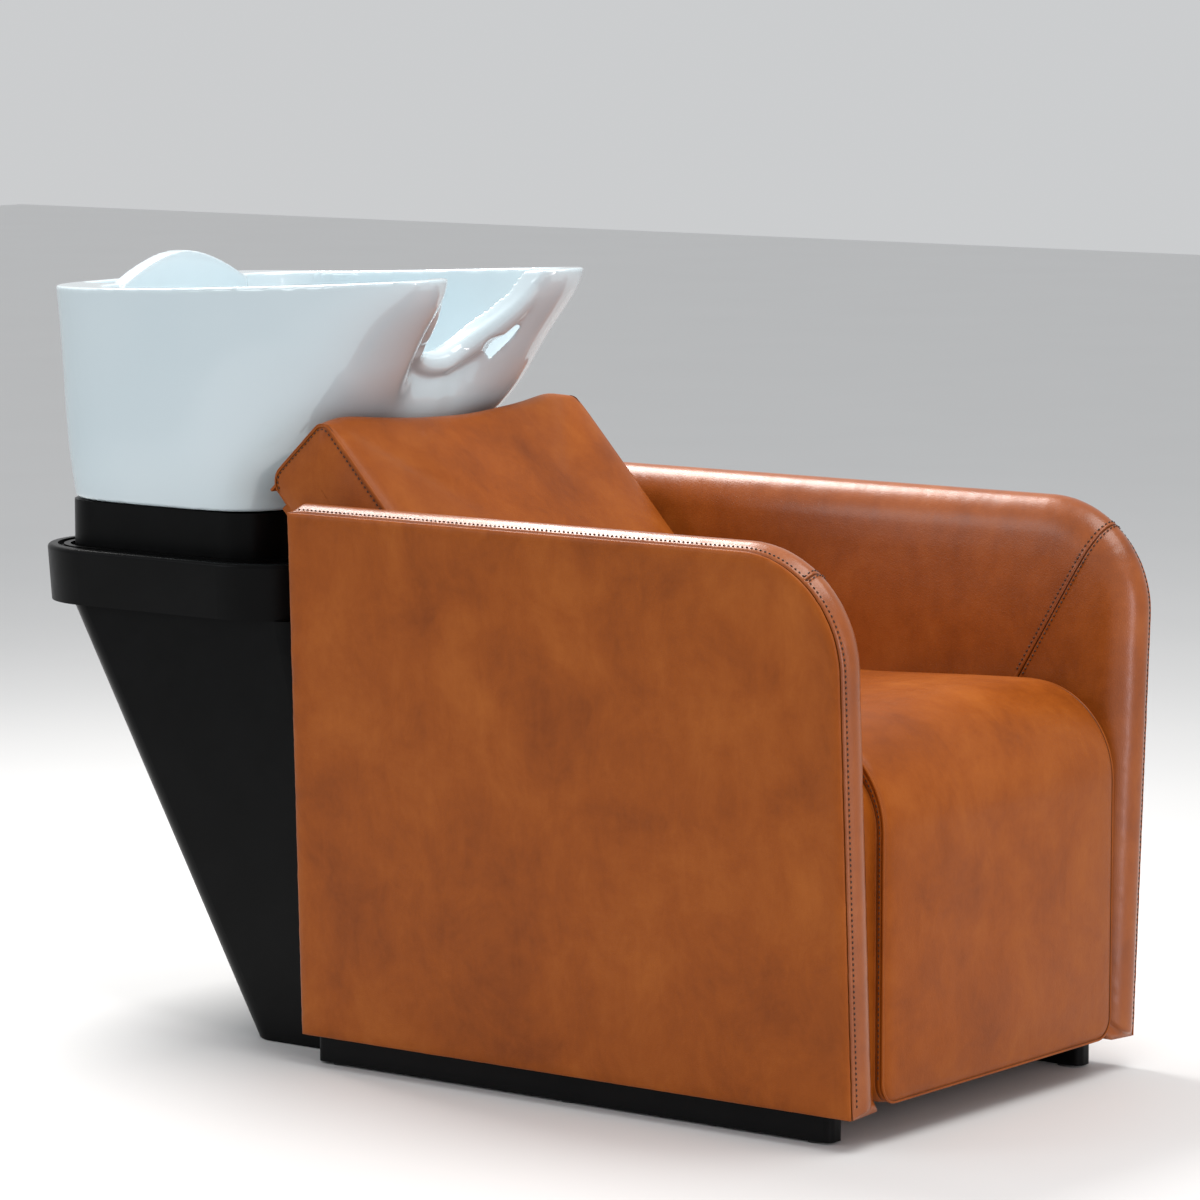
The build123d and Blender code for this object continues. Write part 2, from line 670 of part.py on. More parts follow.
def basin():
    """Ceramic basin: bowl, neck notch, splash hump and tap deck, hollow underneath."""
    body = lofted(BASIN_SECTIONS) - above_rim()
    body -= lofted(BOWL_SECTIONS) - behind_lip()
    body -= neck_notch()
    body -= block(-118, 118, SHAFT_FRONT, 640, DECK_Z, 1000)
    body += hump()
    body -= basin_underside()
    body -= block(-110, 110, SHAFT_FRONT, SHAFT_REAR, BASIN_BOTTOM - 5, DECK_Z - BASIN_WALL)
    for x, y in CRADLE_BOLTS:
        body += rod_z(x, y, 16, CRADLE_Z, BOWL_FLOOR - 5)
        body -= rod_z(x, y, 4.2, CRADLE_Z - 1, CRADLE_Z + 27)
    body -= rod_z(0, DRAIN_Y, 24, 600, 730)
    body -= rod_z(MIXER_X, DECK_Y, 11, 800, 900)
    body -= rod_z(HANDSET_X, DECK_Y, 12.5, 800, 900)
    return body


def offset_sections(rows, inward, heights):
    """Plan outlines at new heights, moved in (or out, when negative) by a wall thickness."""
    result = []
    for z in heights:
        for low, high in zip(rows, rows[1:]):
            if low[0] <= z <= high[0]:
                share = (z - low[0]) / (high[0] - low[0])
                row = [a + share * (b - a) for a, b in zip(low, high)]
                result.append((z, row[1] + inward, row[2] - inward, row[3] - inward, row[4], row[5]))
    return result


def basin_underside():
    """Hollow between the outer skin and the bowl, open downwards round the neck."""
    outer = offset_sections(BASIN_SECTIONS, BASIN_WALL, [BASIN_BOTTOM, 690, 757, 780])
    hollow = lofted(outer) + lofted([(BASIN_BOTTOM - 2,) + outer[0][1:], outer[0]])
    kept = offset_sections(BOWL_SECTIONS, -BASIN_WALL, [BOWL_FLOOR, 757, 831])
    bowl = lofted([(BOWL_FLOOR - BASIN_WALL,) + kept[0][1:]] + kept[1:])
    return hollow - bowl


def neck_body(inset, z0, step, z1):
    """The stepped neck between two heights, shrunk by an inset on every side."""
    wide = rounded_prism(NECK_HALF - inset, NECK_FRONT + inset, NECK_REAR - inset, NECK_CORNER - inset, z0, step)
    spigot = rounded_prism(SPIGOT_HALF - inset, SPIGOT_FRONT + inset, SPIGOT_REAR - inset,
                           SPIGOT_CORNER - inset, step - 1, z1)
    return wide + spigot


def neck_shroud():
    """Open-ended shroud between the column's collar and the basin."""
    skin = neck_body(0, NECK_BOTTOM, NECK_STEP, NECK_TOP)
    return skin - neck_body(NECK_WALL, NECK_BOTTOM - 1, NECK_STEP - NECK_WALL, NECK_TOP + 1)


def tilt_cradle():
    plate = block(-108, 108, 348, 562, CRADLE_Z - 6, CRADLE_Z) - rod_z(0, DRAIN_Y, 40, 650, 670)
    for x, y in CRADLE_BOLTS:
        plate -= rod_z(x, y, 4.4, 650, 670)
    for side in (-1, 1):
        x0, x1 = sorted((side * LUG_IN, side * (LUG_IN + LUG_THICK)))
        lug = block(x0, x1, PIVOT_Y - 24, PIVOT_Y + 24, PIVOT_Z, 655) + rod_x(x0, x1, PIVOT_Y, PIVOT_Z, 24)
        plate += lug - rod_x(x0 - 1, x1 + 1, PIVOT_Y, PIVOT_Z, BUSH_R)
    return plate


def pivot_bushes():
    bushes = []
    for side in (-1, 1):
        x0, x1 = sorted((side * LUG_IN, side * (LUG_IN + LUG_THICK)))
        bushes.append(rod_x(x0, x1, PIVOT_Y, PIVOT_Z, BUSH_R)
                      - rod_x(x0 - 1, x1 + 1, PIVOT_Y, PIVOT_Z, AXLE_R + RUNNING))
    return bushes


def cradle_bolts():
    under = CRADLE_Z - 6
    bolts = []
    for x, y in CRADLE_BOLTS:
        bolts.append(rod_z(x, y, 4, under - 3, CRADLE_Z + 25) + rod_z(x, y, 8, under - 5.5, under))
    return bolts


def drain_flange():
    flange = rod_z(0, DRAIN_Y, 36, BOWL_FLOOR + 0.3, BOWL_FLOOR + 3)
    flange += rod_z(0, DRAIN_Y, 23.5, 668, BOWL_FLOOR + 1)
    return flange - rod_z(0, DRAIN_Y, 20.5, 660, BOWL_FLOOR + 5)


def drain_lock_nut():
    top = BOWL_FLOOR - BASIN_WALL - 0.2
    nut = Pos(0, DRAIN_Y, top - 9) * RegularPolygon(33, 8)
    return extrude(nut, amount=9) - rod_z(0, DRAIN_Y, 23.5, top - 20, top + 5)


def waste_tail():
    return ring_z(0, DRAIN_Y, 20.3, 18, 572, 700)


def hair_strainer():
    """Perforated cup with a rim and a lifting knob."""
    cup = rod_z(0, DRAIN_Y, 30, BOWL_FLOOR + 3.2, BOWL_FLOOR + 5.2)
    cup += rod_z(0, DRAIN_Y, 19, BOWL_FLOOR - 12, BOWL_FLOOR + 4)
    cup -= rod_z(0, DRAIN_Y, 17.5, BOWL_FLOOR - 10.5, BOWL_FLOOR + 6)
    for row, count in ((6.0, 6), (12.0, 12)):
        for step in range(count):
            turn = 2 * math.pi * step / count
            cup -= rod_z(row * math.cos(turn), DRAIN_Y + row * math.sin(turn), 1.8, 700, 712)
    return cup + rod_z(0, DRAIN_Y, 2.5, BOWL_FLOOR - 11, BOWL_FLOOR + 14)


def mixer_body():
    base = rod_z(MIXER_X, DECK_Y, 16, DECK_Z + 0.2, 898)
    return base + rod_z(MIXER_X, DECK_Y, 10.5, MIXER_TAIL, DECK_Z + 1)


def mixer_lock_nut():
    return ring_z(MIXER_X, DECK_Y, 13.5, 10.5, DECK_Z - 18, DECK_Z - 12.2)


def mixer_cap():
    cap = rod_z(MIXER_X, DECK_Y, 15.5, 898.3, 908)
    return fillet(cap.edges().sort_by(Axis.Z)[-1:], 3)


def mixer_lever():
    hub = rod_z(MIXER_X, DECK_Y, 9, 908.6, 915)
    blade = block(MIXER_X - 6, MIXER_X + 6, DECK_Y, 652, 913.5, 919)
    blade = fillet(blade.edges().filter_by(Axis.Z).sort_by(Axis.Y)[-2:], 5)
    return hub + blade


def handset_holder():
    tube = ring_z(HANDSET_X, DECK_Y, 12.3, 10.6, 770, DECK_Z + 1)
    return tube + ring_z(HANDSET_X, DECK_Y, 16, 10.6, DECK_Z + 0.2, DECK_Z + 5)


def handset():
    grip = rod_z(HANDSET_X, DECK_Y, 10.2, 790, DECK_Z + 6)
    neck = Cone(14.5, 17, 26, align=(Align.CENTER, Align.CENTER, Align.MIN))
    return grip + Pos(HANDSET_X, DECK_Y, DECK_Z + 5.5) * neck


def spray_face():
    face = rod_z(HANDSET_X, DECK_Y, 16, DECK_Z + 31.7, DECK_Z + 36)
    for row, count in ((5.0, 6), (11.0, 12)):
        for step in range(count):
            turn = 2 * math.pi * step / count
            x = HANDSET_X + row * math.cos(turn)
            face += rod_z(x, DECK_Y + row * math.sin(turn), 1.1, DECK_Z + 35.5, DECK_Z + 37.5)
    return face


def handset_hose():
    """Shower hose from the mixer's outlet down to a loop and up into the holder."""
    x = MIXER_X + 24
    points = [(x, 614, MIXER_TAIL - 0.3), (x + 2, 613, 750), (x + 9, 614, 706), (HANDSET_X - 8, 614, 704),
              (HANDSET_X - 1, 615, 742), (HANDSET_X, DECK_Y, 769)]
    path = FilletPolyline(*points, radius=[60.0, 13.0, 13.0, 60.0])
    start = Plane(origin=points[0], z_dir=path % 0)
    return sweep(start * Circle(4.5), path=path)


# ---- write the parts ----------------------------------------------------------------------
for side, flip in (("left", lambda s: s), ("right", mirrored)):
    save(f"arm_outer_panel_{side}", flip(arm_outer_panel()))
    save(f"arm_core_{side}", flip(arm_core()))
    save(f"arm_pad_{side}", flip(arm_pad()))
    save(f"runner_{side}", flip(runner()))
    save(f"seat_side_cover_{side}", flip(seat_side_cover()))

save_group("arm_bolts", arm_bolts() + [mirrored(bolt) for bolt in arm_bolts()])
save_group("seat_side_rails", [seat_side_rail(), mirrored(seat_side_rail())])
save_group("backrest_brackets", [backrest_bracket(), mirrored(backrest_bracket())])
save_group("cross_rails", [cross_rail(-330), cross_rail(32)])
save_group("floor_glides", floor_glides())
save_group("link_straps", link_straps())
save("seat_cushion", seat_cushion())
save("seat_deck", seat_deck())
save("seat_front_board", seat_front_board())
save("seat_rear_board", seat_rear_board())
save("rear_cover", rear_cover())
save("backrest_cushion", backrest_cushion())
save("backrest_board", backrest_board())
save_group("backrest_screws", backrest_screws())
save("backrest_zip_tab", backrest_zip_tab())
save("column_shell", column_shell())
save("column_collar", column_collar())
save("service_panel", service_panel())
save_group("service_screws", service_screws())
save("column_base_plate", column_base_plate())
save("column_post", column_post())
save("pivot_yoke", pivot_yoke())
save("tilt_axle", tilt_axle())
save_group("axle_nuts", axle_nuts())
save_group("friction_washers", friction_washers())
save("waste_boot", waste_boot())
save("waste_trap", waste_trap())
save("waste_pipe", waste_pipe())
save_group("stop_valves", [stop_valve(-1), stop_valve(1)])
save("valve_handle_hot", valve_handle(-1))
save("valve_handle_cold", valve_handle(1))
save("valve_clamp", valve_clamp())
save_group("supply_hoses", [supply_hose(-1), supply_hose(1)])
save("basin", basin())
save("neck_shroud", neck_shroud())
save("tilt_cradle", tilt_cradle())
save_group("pivot_bushes", pivot_bushes())
save_group("cradle_bolts", cradle_bolts())
save("drain_flange", drain_flange())
save("drain_lock_nut", drain_lock_nut())
save("waste_tail", waste_tail())
save("hair_strainer", hair_strainer())
save("mixer_body", mixer_body())
save("mixer_lock_nut", mixer_lock_nut())
save("mixer_cap", mixer_cap())
save("mixer_lever", mixer_lever())
save("handset_holder", handset_holder())
save("handset", handset())
save("spray_face", spray_face())
save("handset_hose", handset_hose())
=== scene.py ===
import json
import math

import bmesh
import bpy
import numpy as np
from mathutils import Matrix, Vector, noise
from mathutils.bvhtree import BVHTree


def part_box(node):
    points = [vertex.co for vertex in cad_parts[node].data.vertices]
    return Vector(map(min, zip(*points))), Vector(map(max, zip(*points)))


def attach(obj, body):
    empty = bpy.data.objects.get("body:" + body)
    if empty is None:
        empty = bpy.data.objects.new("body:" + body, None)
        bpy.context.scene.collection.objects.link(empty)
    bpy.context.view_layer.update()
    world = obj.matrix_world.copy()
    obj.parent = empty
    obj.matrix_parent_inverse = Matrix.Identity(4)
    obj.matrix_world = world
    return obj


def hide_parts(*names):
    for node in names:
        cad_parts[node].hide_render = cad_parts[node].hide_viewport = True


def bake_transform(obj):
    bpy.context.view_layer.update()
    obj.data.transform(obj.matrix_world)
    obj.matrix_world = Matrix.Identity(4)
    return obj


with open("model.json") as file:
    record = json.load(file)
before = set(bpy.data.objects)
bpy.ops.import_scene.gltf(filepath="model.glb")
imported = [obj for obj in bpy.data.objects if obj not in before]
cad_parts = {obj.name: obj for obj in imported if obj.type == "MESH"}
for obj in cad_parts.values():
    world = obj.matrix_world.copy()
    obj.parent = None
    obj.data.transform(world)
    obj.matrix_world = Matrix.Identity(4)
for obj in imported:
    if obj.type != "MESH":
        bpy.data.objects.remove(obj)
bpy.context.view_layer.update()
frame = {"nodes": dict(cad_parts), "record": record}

# Everything is in metres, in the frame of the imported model: the client faces -Y, the basin is
# at +Y, the sitter's left is +X and the floor is z = 0.

# ---- sizes shared with the design ---------------------------------------------------------
ARM_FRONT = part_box("arm_outer_panel_left")[0].y - 0.0005
ARM_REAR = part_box("arm_outer_panel_left")[1].y + 0.0005
ARM_BOTTOM = 0.038
ARM_TOP = 0.672
ARM_OUTER_X = 0.300
ARM_THICK = 0.057
ARM_CORNER = 0.130
ARM_SPLAY = math.radians(3.15)

SEAT_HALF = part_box("seat_cushion")[1].x
SEAT_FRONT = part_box("seat_cushion")[0].y
SEAT_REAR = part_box("seat_cushion")[1].y
SEAT_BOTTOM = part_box("seat_cushion")[0].z
SEAT_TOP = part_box("seat_cushion")[1].z
SEAT_FALL = 0.032
SEAT_BEND = 0.110

BACK_TOP = Vector((0.152, 0.783))
BACK_LEAN = math.radians(42.9)
BACK_THICK = 0.116
BACK_HALF = 0.245
BACK_DIP = 0.028
BACK_FOOT = 0.437
EAR_REACH = 0.050
EAR_DROP = 0.011

LIP_Z = 0.836
LIP_RISE = 0.087
LIP_HALF = 0.090
LIP_POWER = 2.6
LIP_FRONT = 0.166
WING_Y = 0.040
SCOOP_HALF = 0.080


# ---- node helpers for materials -----------------------------------------------------------
class Shader:
    """A small wrapper that adds nodes to one material."""

    def __init__(self, name):
        self.material = bpy.data.materials.new(name)
        self.material.use_nodes = True
        self.tree = self.material.node_tree
        self.bsdf = self.tree.nodes["Principled BSDF"]
        self.where = self.add("ShaderNodeTexCoord").outputs["Object"]

    def add(self, kind, **settings):
        node = self.tree.nodes.new(kind)
        for key, value in settings.items():
            setattr(node, key, value)
        return node

    def link(self, source, target):
        self.tree.links.new(source, target)

    def set(self, **values):
        for key, value in values.items():
            self.bsdf.inputs[key.replace("_", " ")].default_value = value

    def stretch(self, scale):
        """Object coordinates scaled by a factor along each axis."""
        node = self.add("ShaderNodeMapping")
        node.inputs["Scale"].default_value = scale
        self.link(self.where, node.inputs["Vector"])
        return node.outputs["Vector"]

    def noise(self, scale, detail=3.0, rough=0.5, where=None, distort=0.0):
        node = self.add("ShaderNodeTexNoise")
        node.inputs["Scale"].default_value = scale
        node.inputs["Detail"].default_value = detail
        node.inputs["Roughness"].default_value = rough
        node.inputs["Distortion"].default_value = distort
        self.link(where or self.where, node.inputs["Vector"])
        return node.outputs["Fac"]

    def cells(self, scale, feature="F1", where=None):
        node = self.add("ShaderNodeTexVoronoi", feature=feature)
        node.inputs["Scale"].default_value = scale
        self.link(where or self.where, node.inputs["Vector"])
        return node.outputs["Distance"]

    def ramp(self, value, stops):
        node = self.add("ShaderNodeValToRGB")
        ramp = node.color_ramp
        while len(ramp.elements) < len(stops):
            ramp.elements.new(0.5)
        for element, (place, colour) in zip(ramp.elements, stops):
            element.position = place
            element.color = (*colour, 1.0) if len(colour) == 3 else colour
        self.link(value, node.inputs["Fac"])
        return node.outputs["Color"]

    def sums(self, *terms):
        """Weighted sum of (value, weight) pairs."""
        total = None
        for value, weight in terms:
            part = self.add("ShaderNodeMath", operation="MULTIPLY")
            self.link(value, part.inputs[0])
            part.inputs[1].default_value = weight
            if total is None:
                total = part.outputs[0]
                continue
            both = self.add("ShaderNodeMath", operation="ADD")
            self.link(total, both.inputs[0])
            self.link(part.outputs[0], both.inputs[1])
            total = both.outputs[0]
        return total

    def spread(self, value, low, high, out_low, out_high):
        node = self.add("ShaderNodeMapRange")
        for name, number in zip(("From Min", "From Max", "To Min", "To Max"), (low, high, out_low, out_high)):
            node.inputs[name].default_value = number
        self.link(value, node.inputs["Value"])
        return node.outputs["Result"]

    def bump(self, height, strength, distance):
        node = self.add("ShaderNodeBump")
        node.inputs["Strength"].default_value = strength
        node.inputs["Distance"].default_value = distance
        self.link(height, node.inputs["Height"])
        self.link(node.outputs["Normal"], self.bsdf.inputs["Normal"])

    def colour(self, source):
        self.link(source, self.bsdf.inputs["Base Color"])

    def roughness(self, source):
        self.link(source, self.bsdf.inputs["Roughness"])


def leather(name, dark, mid, light, shine=0.13, polish=0.06, rough=0.40):
    """Aniline cowhide: cloudy dye, faint veins, fine pebble grain and a soft wax finish."""
    s = Shader(name)
    clouds = s.noise(9.0, 6.0, 0.66, distort=0.35)
    patches = s.noise(3.2, 2.0, 0.5)
    veins = s.noise(26.0, 5.0, 0.7, where=s.stretch((1.5, 1.5, 0.6)), distort=0.9)
    tone = s.sums((clouds, 0.58), (patches, 0.24), (veins, 0.18))
    s.colour(s.ramp(tone, [(0.35, dark), (0.50, mid), (0.66, light)]))
    pebbles = s.cells(720.0, "SMOOTH_F1")
    creases = s.noise(240.0, 4.0, 0.65)
    waves = s.noise(22.0, 2.0, 0.5)
    s.bump(s.sums((pebbles, 0.45), (creases, 0.35), (waves, 1.6)), 0.32, 0.0011)
    s.roughness(s.spread(s.sums((creases, 0.5), (clouds, 0.5)), 0.35, 0.65, rough - 0.05, rough + 0.08))
    s.set(Specular_IOR_Level=shine, Coat_Weight=polish, Coat_Roughness=0.28)
    return s.material


def ceramic():
    """White glazed vitreous china, a little uneven under a deep clear glaze."""
    s = Shader("glazed_ceramic")
    s.colour(s.ramp(s.noise(3.0, 2.0), [(0.3, (0.535, 0.635, 0.680)), (0.7, (0.580, 0.670, 0.710))]))
    s.roughness(s.spread(s.noise(40.0, 3.0), 0.3, 0.7, 0.10, 0.16))
    s.bump(s.noise(16.0, 2.0), 0.05, 0.002)
    s.set(Specular_IOR_Level=0.55, Coat_Weight=0.8, Coat_Roughness=0.05, Coat_IOR=1.5)
    return s.material


def plastic(name, low, high, rough, grain, depth, shine=0.5):
    """Moulded or painted surface with a fine texture and slight scuffs."""
    s = Shader(name)
    s.colour(s.ramp(s.noise(14.0, 4.0), [(0.35, low), (0.68, high)]))
    s.roughness(s.spread(s.noise(30.0, 5.0, 0.65), 0.3, 0.7, rough - 0.06, rough + 0.08))
    s.bump(s.noise(grain, 3.0, 0.6), 0.35, depth)
    s.set(Specular_IOR_Level=shine)
    return s.material


def metal(name, colour, rough, brushed):
    """Metal with a drawn or polished finish."""
    s = Shader(name)
    lines = s.noise(brushed, 3.0, 0.6, where=s.stretch((1.0, 1.0, 0.04)))
    darker = tuple(0.86 * c for c in colour)
    s.colour(s.ramp(lines, [(0.3, darker), (0.7, colour)]))
    s.roughness(s.spread(lines, 0.3, 0.7, rough, rough + 0.08))
    s.bump(lines, 0.04, 0.0004)
    s.set(Metallic=1.0)
    return s.material


def plywood():
    """Birch ply with long grain."""
    s = Shader("birch_plywood")
    grain = s.noise(26.0, 6.0, 0.6, where=s.stretch((6.0, 0.5, 6.0)), distort=0.8)
    s.colour(s.ramp(grain, [(0.3, (0.40, 0.25, 0.12)), (0.7, (0.62, 0.44, 0.25))]))
    s.roughness(s.spread(grain, 0.3, 0.7, 0.5, 0.7))
    s.bump(grain, 0.25, 0.0006)
    return s.material


def braid():
    """Woven steel sleeve over a supply hose."""
    s = Shader("steel_braid")
    weave = s.cells(520.0, where=s.stretch((1.0, 1.0, 0.6)))
    s.colour(s.ramp(weave, [(0.1, (0.20, 0.20, 0.21)), (0.5, (0.62, 0.62, 0.64))]))
    s.roughness(s.spread(weave, 0.0, 0.6, 0.28, 0.5))
    s.bump(weave, 0.6, 0.0008)
    s.set(Metallic=1.0)
    return s.material


def thread():
    """Waxed upholstery thread."""
    s = Shader("waxed_thread")
    twist = s.noise(1400.0, 2.0)
    s.colour(s.ramp(twist, [(0.3, (0.022, 0.007, 0.003)), (0.7, (0.050, 0.018, 0.007))]))
    s.roughness(s.spread(twist, 0.3, 0.7, 0.5, 0.7))
    s.bump(twist, 0.3, 0.0003)
    return s.material


TAN = ((0.200, 0.044, 0.004), (0.280, 0.066, 0.006), (0.352, 0.095, 0.012))
LEATHER = leather("tan_leather", *TAN)
POLISHED = leather("hand_polished_leather", *TAN, shine=0.40, polish=0.32, rough=0.34)
# Darker leather for seams, welts and grooves: painted shade in the creases.
SEAM_SHADE_LEATHER = leather("seam_painted_shade_leather", (0.075, 0.017, 0.002), (0.105, 0.025, 0.003), (0.140, 0.036, 0.005))
CERAMIC = ceramic()
BLACK_SHELL = plastic("black_shell", (0.0012, 0.0012, 0.0013), (0.0022, 0.0022, 0.0024),
                      0.34, 700.0, 0.00012, 0.09)
BLACK_STEEL = plastic("black_powder_coat", (0.0016, 0.0016, 0.0018), (0.0028, 0.0028, 0.0030),
                      0.42, 500.0, 0.0002, 0.1)
BLACK_RUBBER = plastic("black_rubber", (0.018, 0.018, 0.018), (0.030, 0.030, 0.030), 0.70, 300.0, 0.0003)
WHITE_PLASTIC = plastic("white_waste_plastic", (0.66, 0.66, 0.65), (0.74, 0.74, 0.73), 0.40, 200.0, 0.0002)
KNOB_PLASTIC = plastic("grey_knob", (0.20, 0.20, 0.21), (0.27, 0.27, 0.28), 0.35, 300.0, 0.0002)
CHROME = metal("bright_chrome", (0.82, 0.82, 0.84), 0.05, 60.0)
NICKEL = metal("nickel_plate", (0.70, 0.69, 0.66), 0.18, 90.0)
BRASS = metal("machined_brass", (0.72, 0.50, 0.22), 0.22, 300.0)
ZINC = metal("zinc_plate", (0.62, 0.63, 0.66), 0.30, 300.0)
PLYWOOD = plywood()
BRAID = braid()
THREAD = thread()

FINISH = {
    "leather": LEATHER, "plywood": PLYWOOD, "black_shell": BLACK_SHELL, "black_steel": BLACK_STEEL,
    "ceramic": CERAMIC, "chrome": CHROME, "brass_plated": NICKEL, "black_rubber": BLACK_RUBBER,
    "white_plastic": WHITE_PLASTIC, "knob_plastic": KNOB_PLASTIC, "brass": BRASS, "braid": BRAID,
    "zinc_steel": ZINC,
}


def finish_cad_nodes():
    """Give every CAD node the material of its slot; the back board is covered in leather."""
    for part in frame["record"]["subparts"]:
        mesh = frame["nodes"][part["node"]].data
        mesh.materials.clear()
        mesh.materials.append(LEATHER if part["node"] == "backrest_board" else FINISH[part["material_slot"]])


# ---- mesh helpers -------------------------------------------------------------------------
def new_object(name, verts, faces, material):
    mesh = bpy.data.meshes.new(name)
    mesh.from_pydata([tuple(v) for v in verts], [], faces)
    mesh.materials.append(material)
    mesh.polygons.foreach_set("use_smooth", [True] * len(mesh.polygons))
    mesh.update()
    thing = bpy.data.objects.new(name, mesh)
    bpy.context.scene.collection.objects.link(thing)
    return thing


def shade_seam(thing, face_count, first=0):
    """Give a run of faces the darker leather that paints the shade in a seam."""
    if SEAM_SHADE_LEATHER.name not in thing.data.materials:
        thing.data.materials.append(SEAM_SHADE_LEATHER)
    for face in thing.data.polygons[first:first + face_count]:
        face.material_index = 1


def tidy_mesh(thing, merge=0.0):
    """Weld doubles and make the normals point outwards."""
    bm = bmesh.new()
    bm.from_mesh(thing.data)
    if merge:
        bmesh.ops.remove_doubles(bm, verts=bm.verts, dist=merge)
    bmesh.ops.recalc_face_normals(bm, faces=bm.faces)
    bm.to_mesh(thing.data)
    bm.free()


def place(thing, body, slot, *nodes):
    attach(thing, body)
    if nodes:
        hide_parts(*nodes)
    return thing


def smooth_step(x, low, high):
    t = min(max((x - low) / (high - low), 0.0), 1.0)
    return t * t * (3 - 2 * t)


def wobble(x, y, z, size):
    """Smooth noise from -1 to 1 with a feature size in metres."""
    return noise.noise(Vector((x, y, z)) / size)


def ring_faces(rows, count, start=0):
    """Quads between successive closed rings of the same length."""
    faces = []
    for row in range(rows - 1):
        for k in range(count):
            a = start + row * count + k
            b = start + row * count + (k + 1) % count
            faces.append((a, b, b + count, a + count))
    return faces


# ---- stitches -----------------------------------------------------------------------------
def resample(points, pitch):
    """Points at an even pitch along a polyline."""
    path = np.array([tuple(p) for p in points])
    steps = np.linalg.norm(np.diff(path, axis=0), axis=1)
    along = np.concatenate([[0], np.cumsum(steps)])
    count = max(2, int(along[-1] / pitch))
    wanted = np.linspace(0, along[-1], count)
    return [Vector([np.interp(w, along, path[:, k]) for k in range(3)]) for w in wanted]


def surface_tree(thing):
    bm = bmesh.new()
    bm.from_mesh(thing.data)
    tree = BVHTree.FromBMesh(bm)
    bm.free()
    return tree


def stitch_mesh(name, rows, tree, pitch=0.0062, length=0.0042, radius=0.00075):
    """Rows of short thread stitches lying on a surface, as one mesh."""
    verts, faces = [], []
    around, rings = 6, 5
    for row in rows:
        spots = resample(row, pitch)
        for before, after in zip(spots, spots[1:]):
            middle = (before + after) / 2
            spot, normal, _, gap = tree.find_nearest(middle)
            if spot is None or gap > 0.012:
                continue
            along = (after - before).normalized()
            along = (along - normal * along.dot(normal)).normalized()
            side = normal.cross(along)
            start = len(verts)
            for ring in range(rings):
                share = ring / (rings - 1) * 2 - 1
                swell = math.sqrt(max(0.0, 1 - share ** 4)) * 0.9 + 0.1
                centre = spot + along * (share * length / 2) + normal * (radius * (0.75 - 1.1 * share ** 2))
                for k in range(around):
                    turn = 2 * math.pi * k / around
                    offset = side * math.cos(turn) + normal * math.sin(turn)
                    verts.append(centre + offset * radius * swell)
            faces += ring_faces(rings, around, start)
            faces.append(tuple(start + k for k in reversed(range(around))))
            faces.append(tuple(start + (rings - 1) * around + k for k in range(around)))
    return new_object(name, verts, faces, THREAD)


# ---- arms ---------------------------------------------------------------------------------
def arm_outline():
    """Samples round an arm's side view: place, movement per metre of inset, and roll weight."""
    samples = []
    rear_top, rear_low = (ARM_REAR - 0.012, ARM_TOP), (ARM_REAR, ARM_BOTTOM)
    bend_top, bend_low = (ARM_FRONT + ARM_CORNER, ARM_TOP), (ARM_FRONT, ARM_TOP - ARM_CORNER)
    front_low = (ARM_FRONT, ARM_BOTTOM)

    def run(start, end, shift0, shift1, count, weight):
        for t in np.linspace(0, 1, count, endpoint=False):
            y, z, dy, dz = (p + t * (q - p) for p, q in zip((*start, *shift0), (*end, *shift1)))
            samples.append((y, z, dy, dz, weight(t)))

    run(rear_top, bend_top, (-1, -1), (0, -1), 170, lambda t: smooth_step(t, 0.0, 0.03))
    for turn in np.linspace(90, 180, 76)[:-1]:
        c, q = math.cos(math.radians(turn)), math.sin(math.radians(turn))
        samples.append((bend_top[0] + ARM_CORNER * c, bend_low[1] + ARM_CORNER * q, -c, -q, 1.0))
    run(bend_low, front_low, (1, 0), (1, 1), 130, lambda t: 1 - smooth_step(t, 0.965, 1.0))
    run(front_low, rear_low, (1, 1), (-1, 1), 160, lambda t: 0.0)
    run(rear_low, rear_top, (-1, 1), (-1, -1), 130, lambda t: 0.0)
    return samples


def splay(x, y, z):
    """From the arm's own upright frame to the leaning left arm."""
    c, s = math.cos(ARM_SPLAY), math.sin(ARM_SPLAY)
    up = z - ARM_BOTTOM
    return Vector((ARM_OUTER_X + x * c + up * s, y, ARM_BOTTOM - x * s + up * c))


def arm_point(sample, x, d):
    """A point at depth x inside the outer face and distance d in from the outline."""
    y, z, move_y, move_z, _ = sample
    near = min(d, 0.10)
    y += move_y * near
    z += move_z * near
    if d > near:
        share = (d - near) / 0.23
        y += share * ((ARM_FRONT + ARM_REAR) / 2 - y)
        z += share * ((ARM_BOTTOM + ARM_TOP) / 2 - z)
    return splay(x, y, z)


def pucker(sample, d, reach=0.018):
    """Small uneven pull of the leather beside a seam."""
    near = math.exp(-(d / reach) ** 2)
    broad = wobble(sample[0], sample[1], d * 0.5, 0.017)
    fine = wobble(sample[0], sample[1], d, 0.007)
    return near * 0.0006 * (broad + 0.6 * fine)


# (x, d) rows of the flat side: the turned-in edge, the welt and the slightly padded face
PANEL_PROFILE = [(-0.0056, 0.0150), (-0.0050, 0.0028), (-0.0040, 0.0008), (-0.0030, 0.0001),
                 (-0.0016, 0.0006), (-0.0005, 0.0024), (0.0001, 0.0050), (0.0005, 0.0085),
                 (0.0006, 0.013), (0.0004, 0.020), (0.0001, 0.032), (-0.0003, 0.050), (0.0, 0.080),
                 (0.0003, 0.12), (0.0, 0.18), (0.0, 0.25), (0.0, 0.312)]


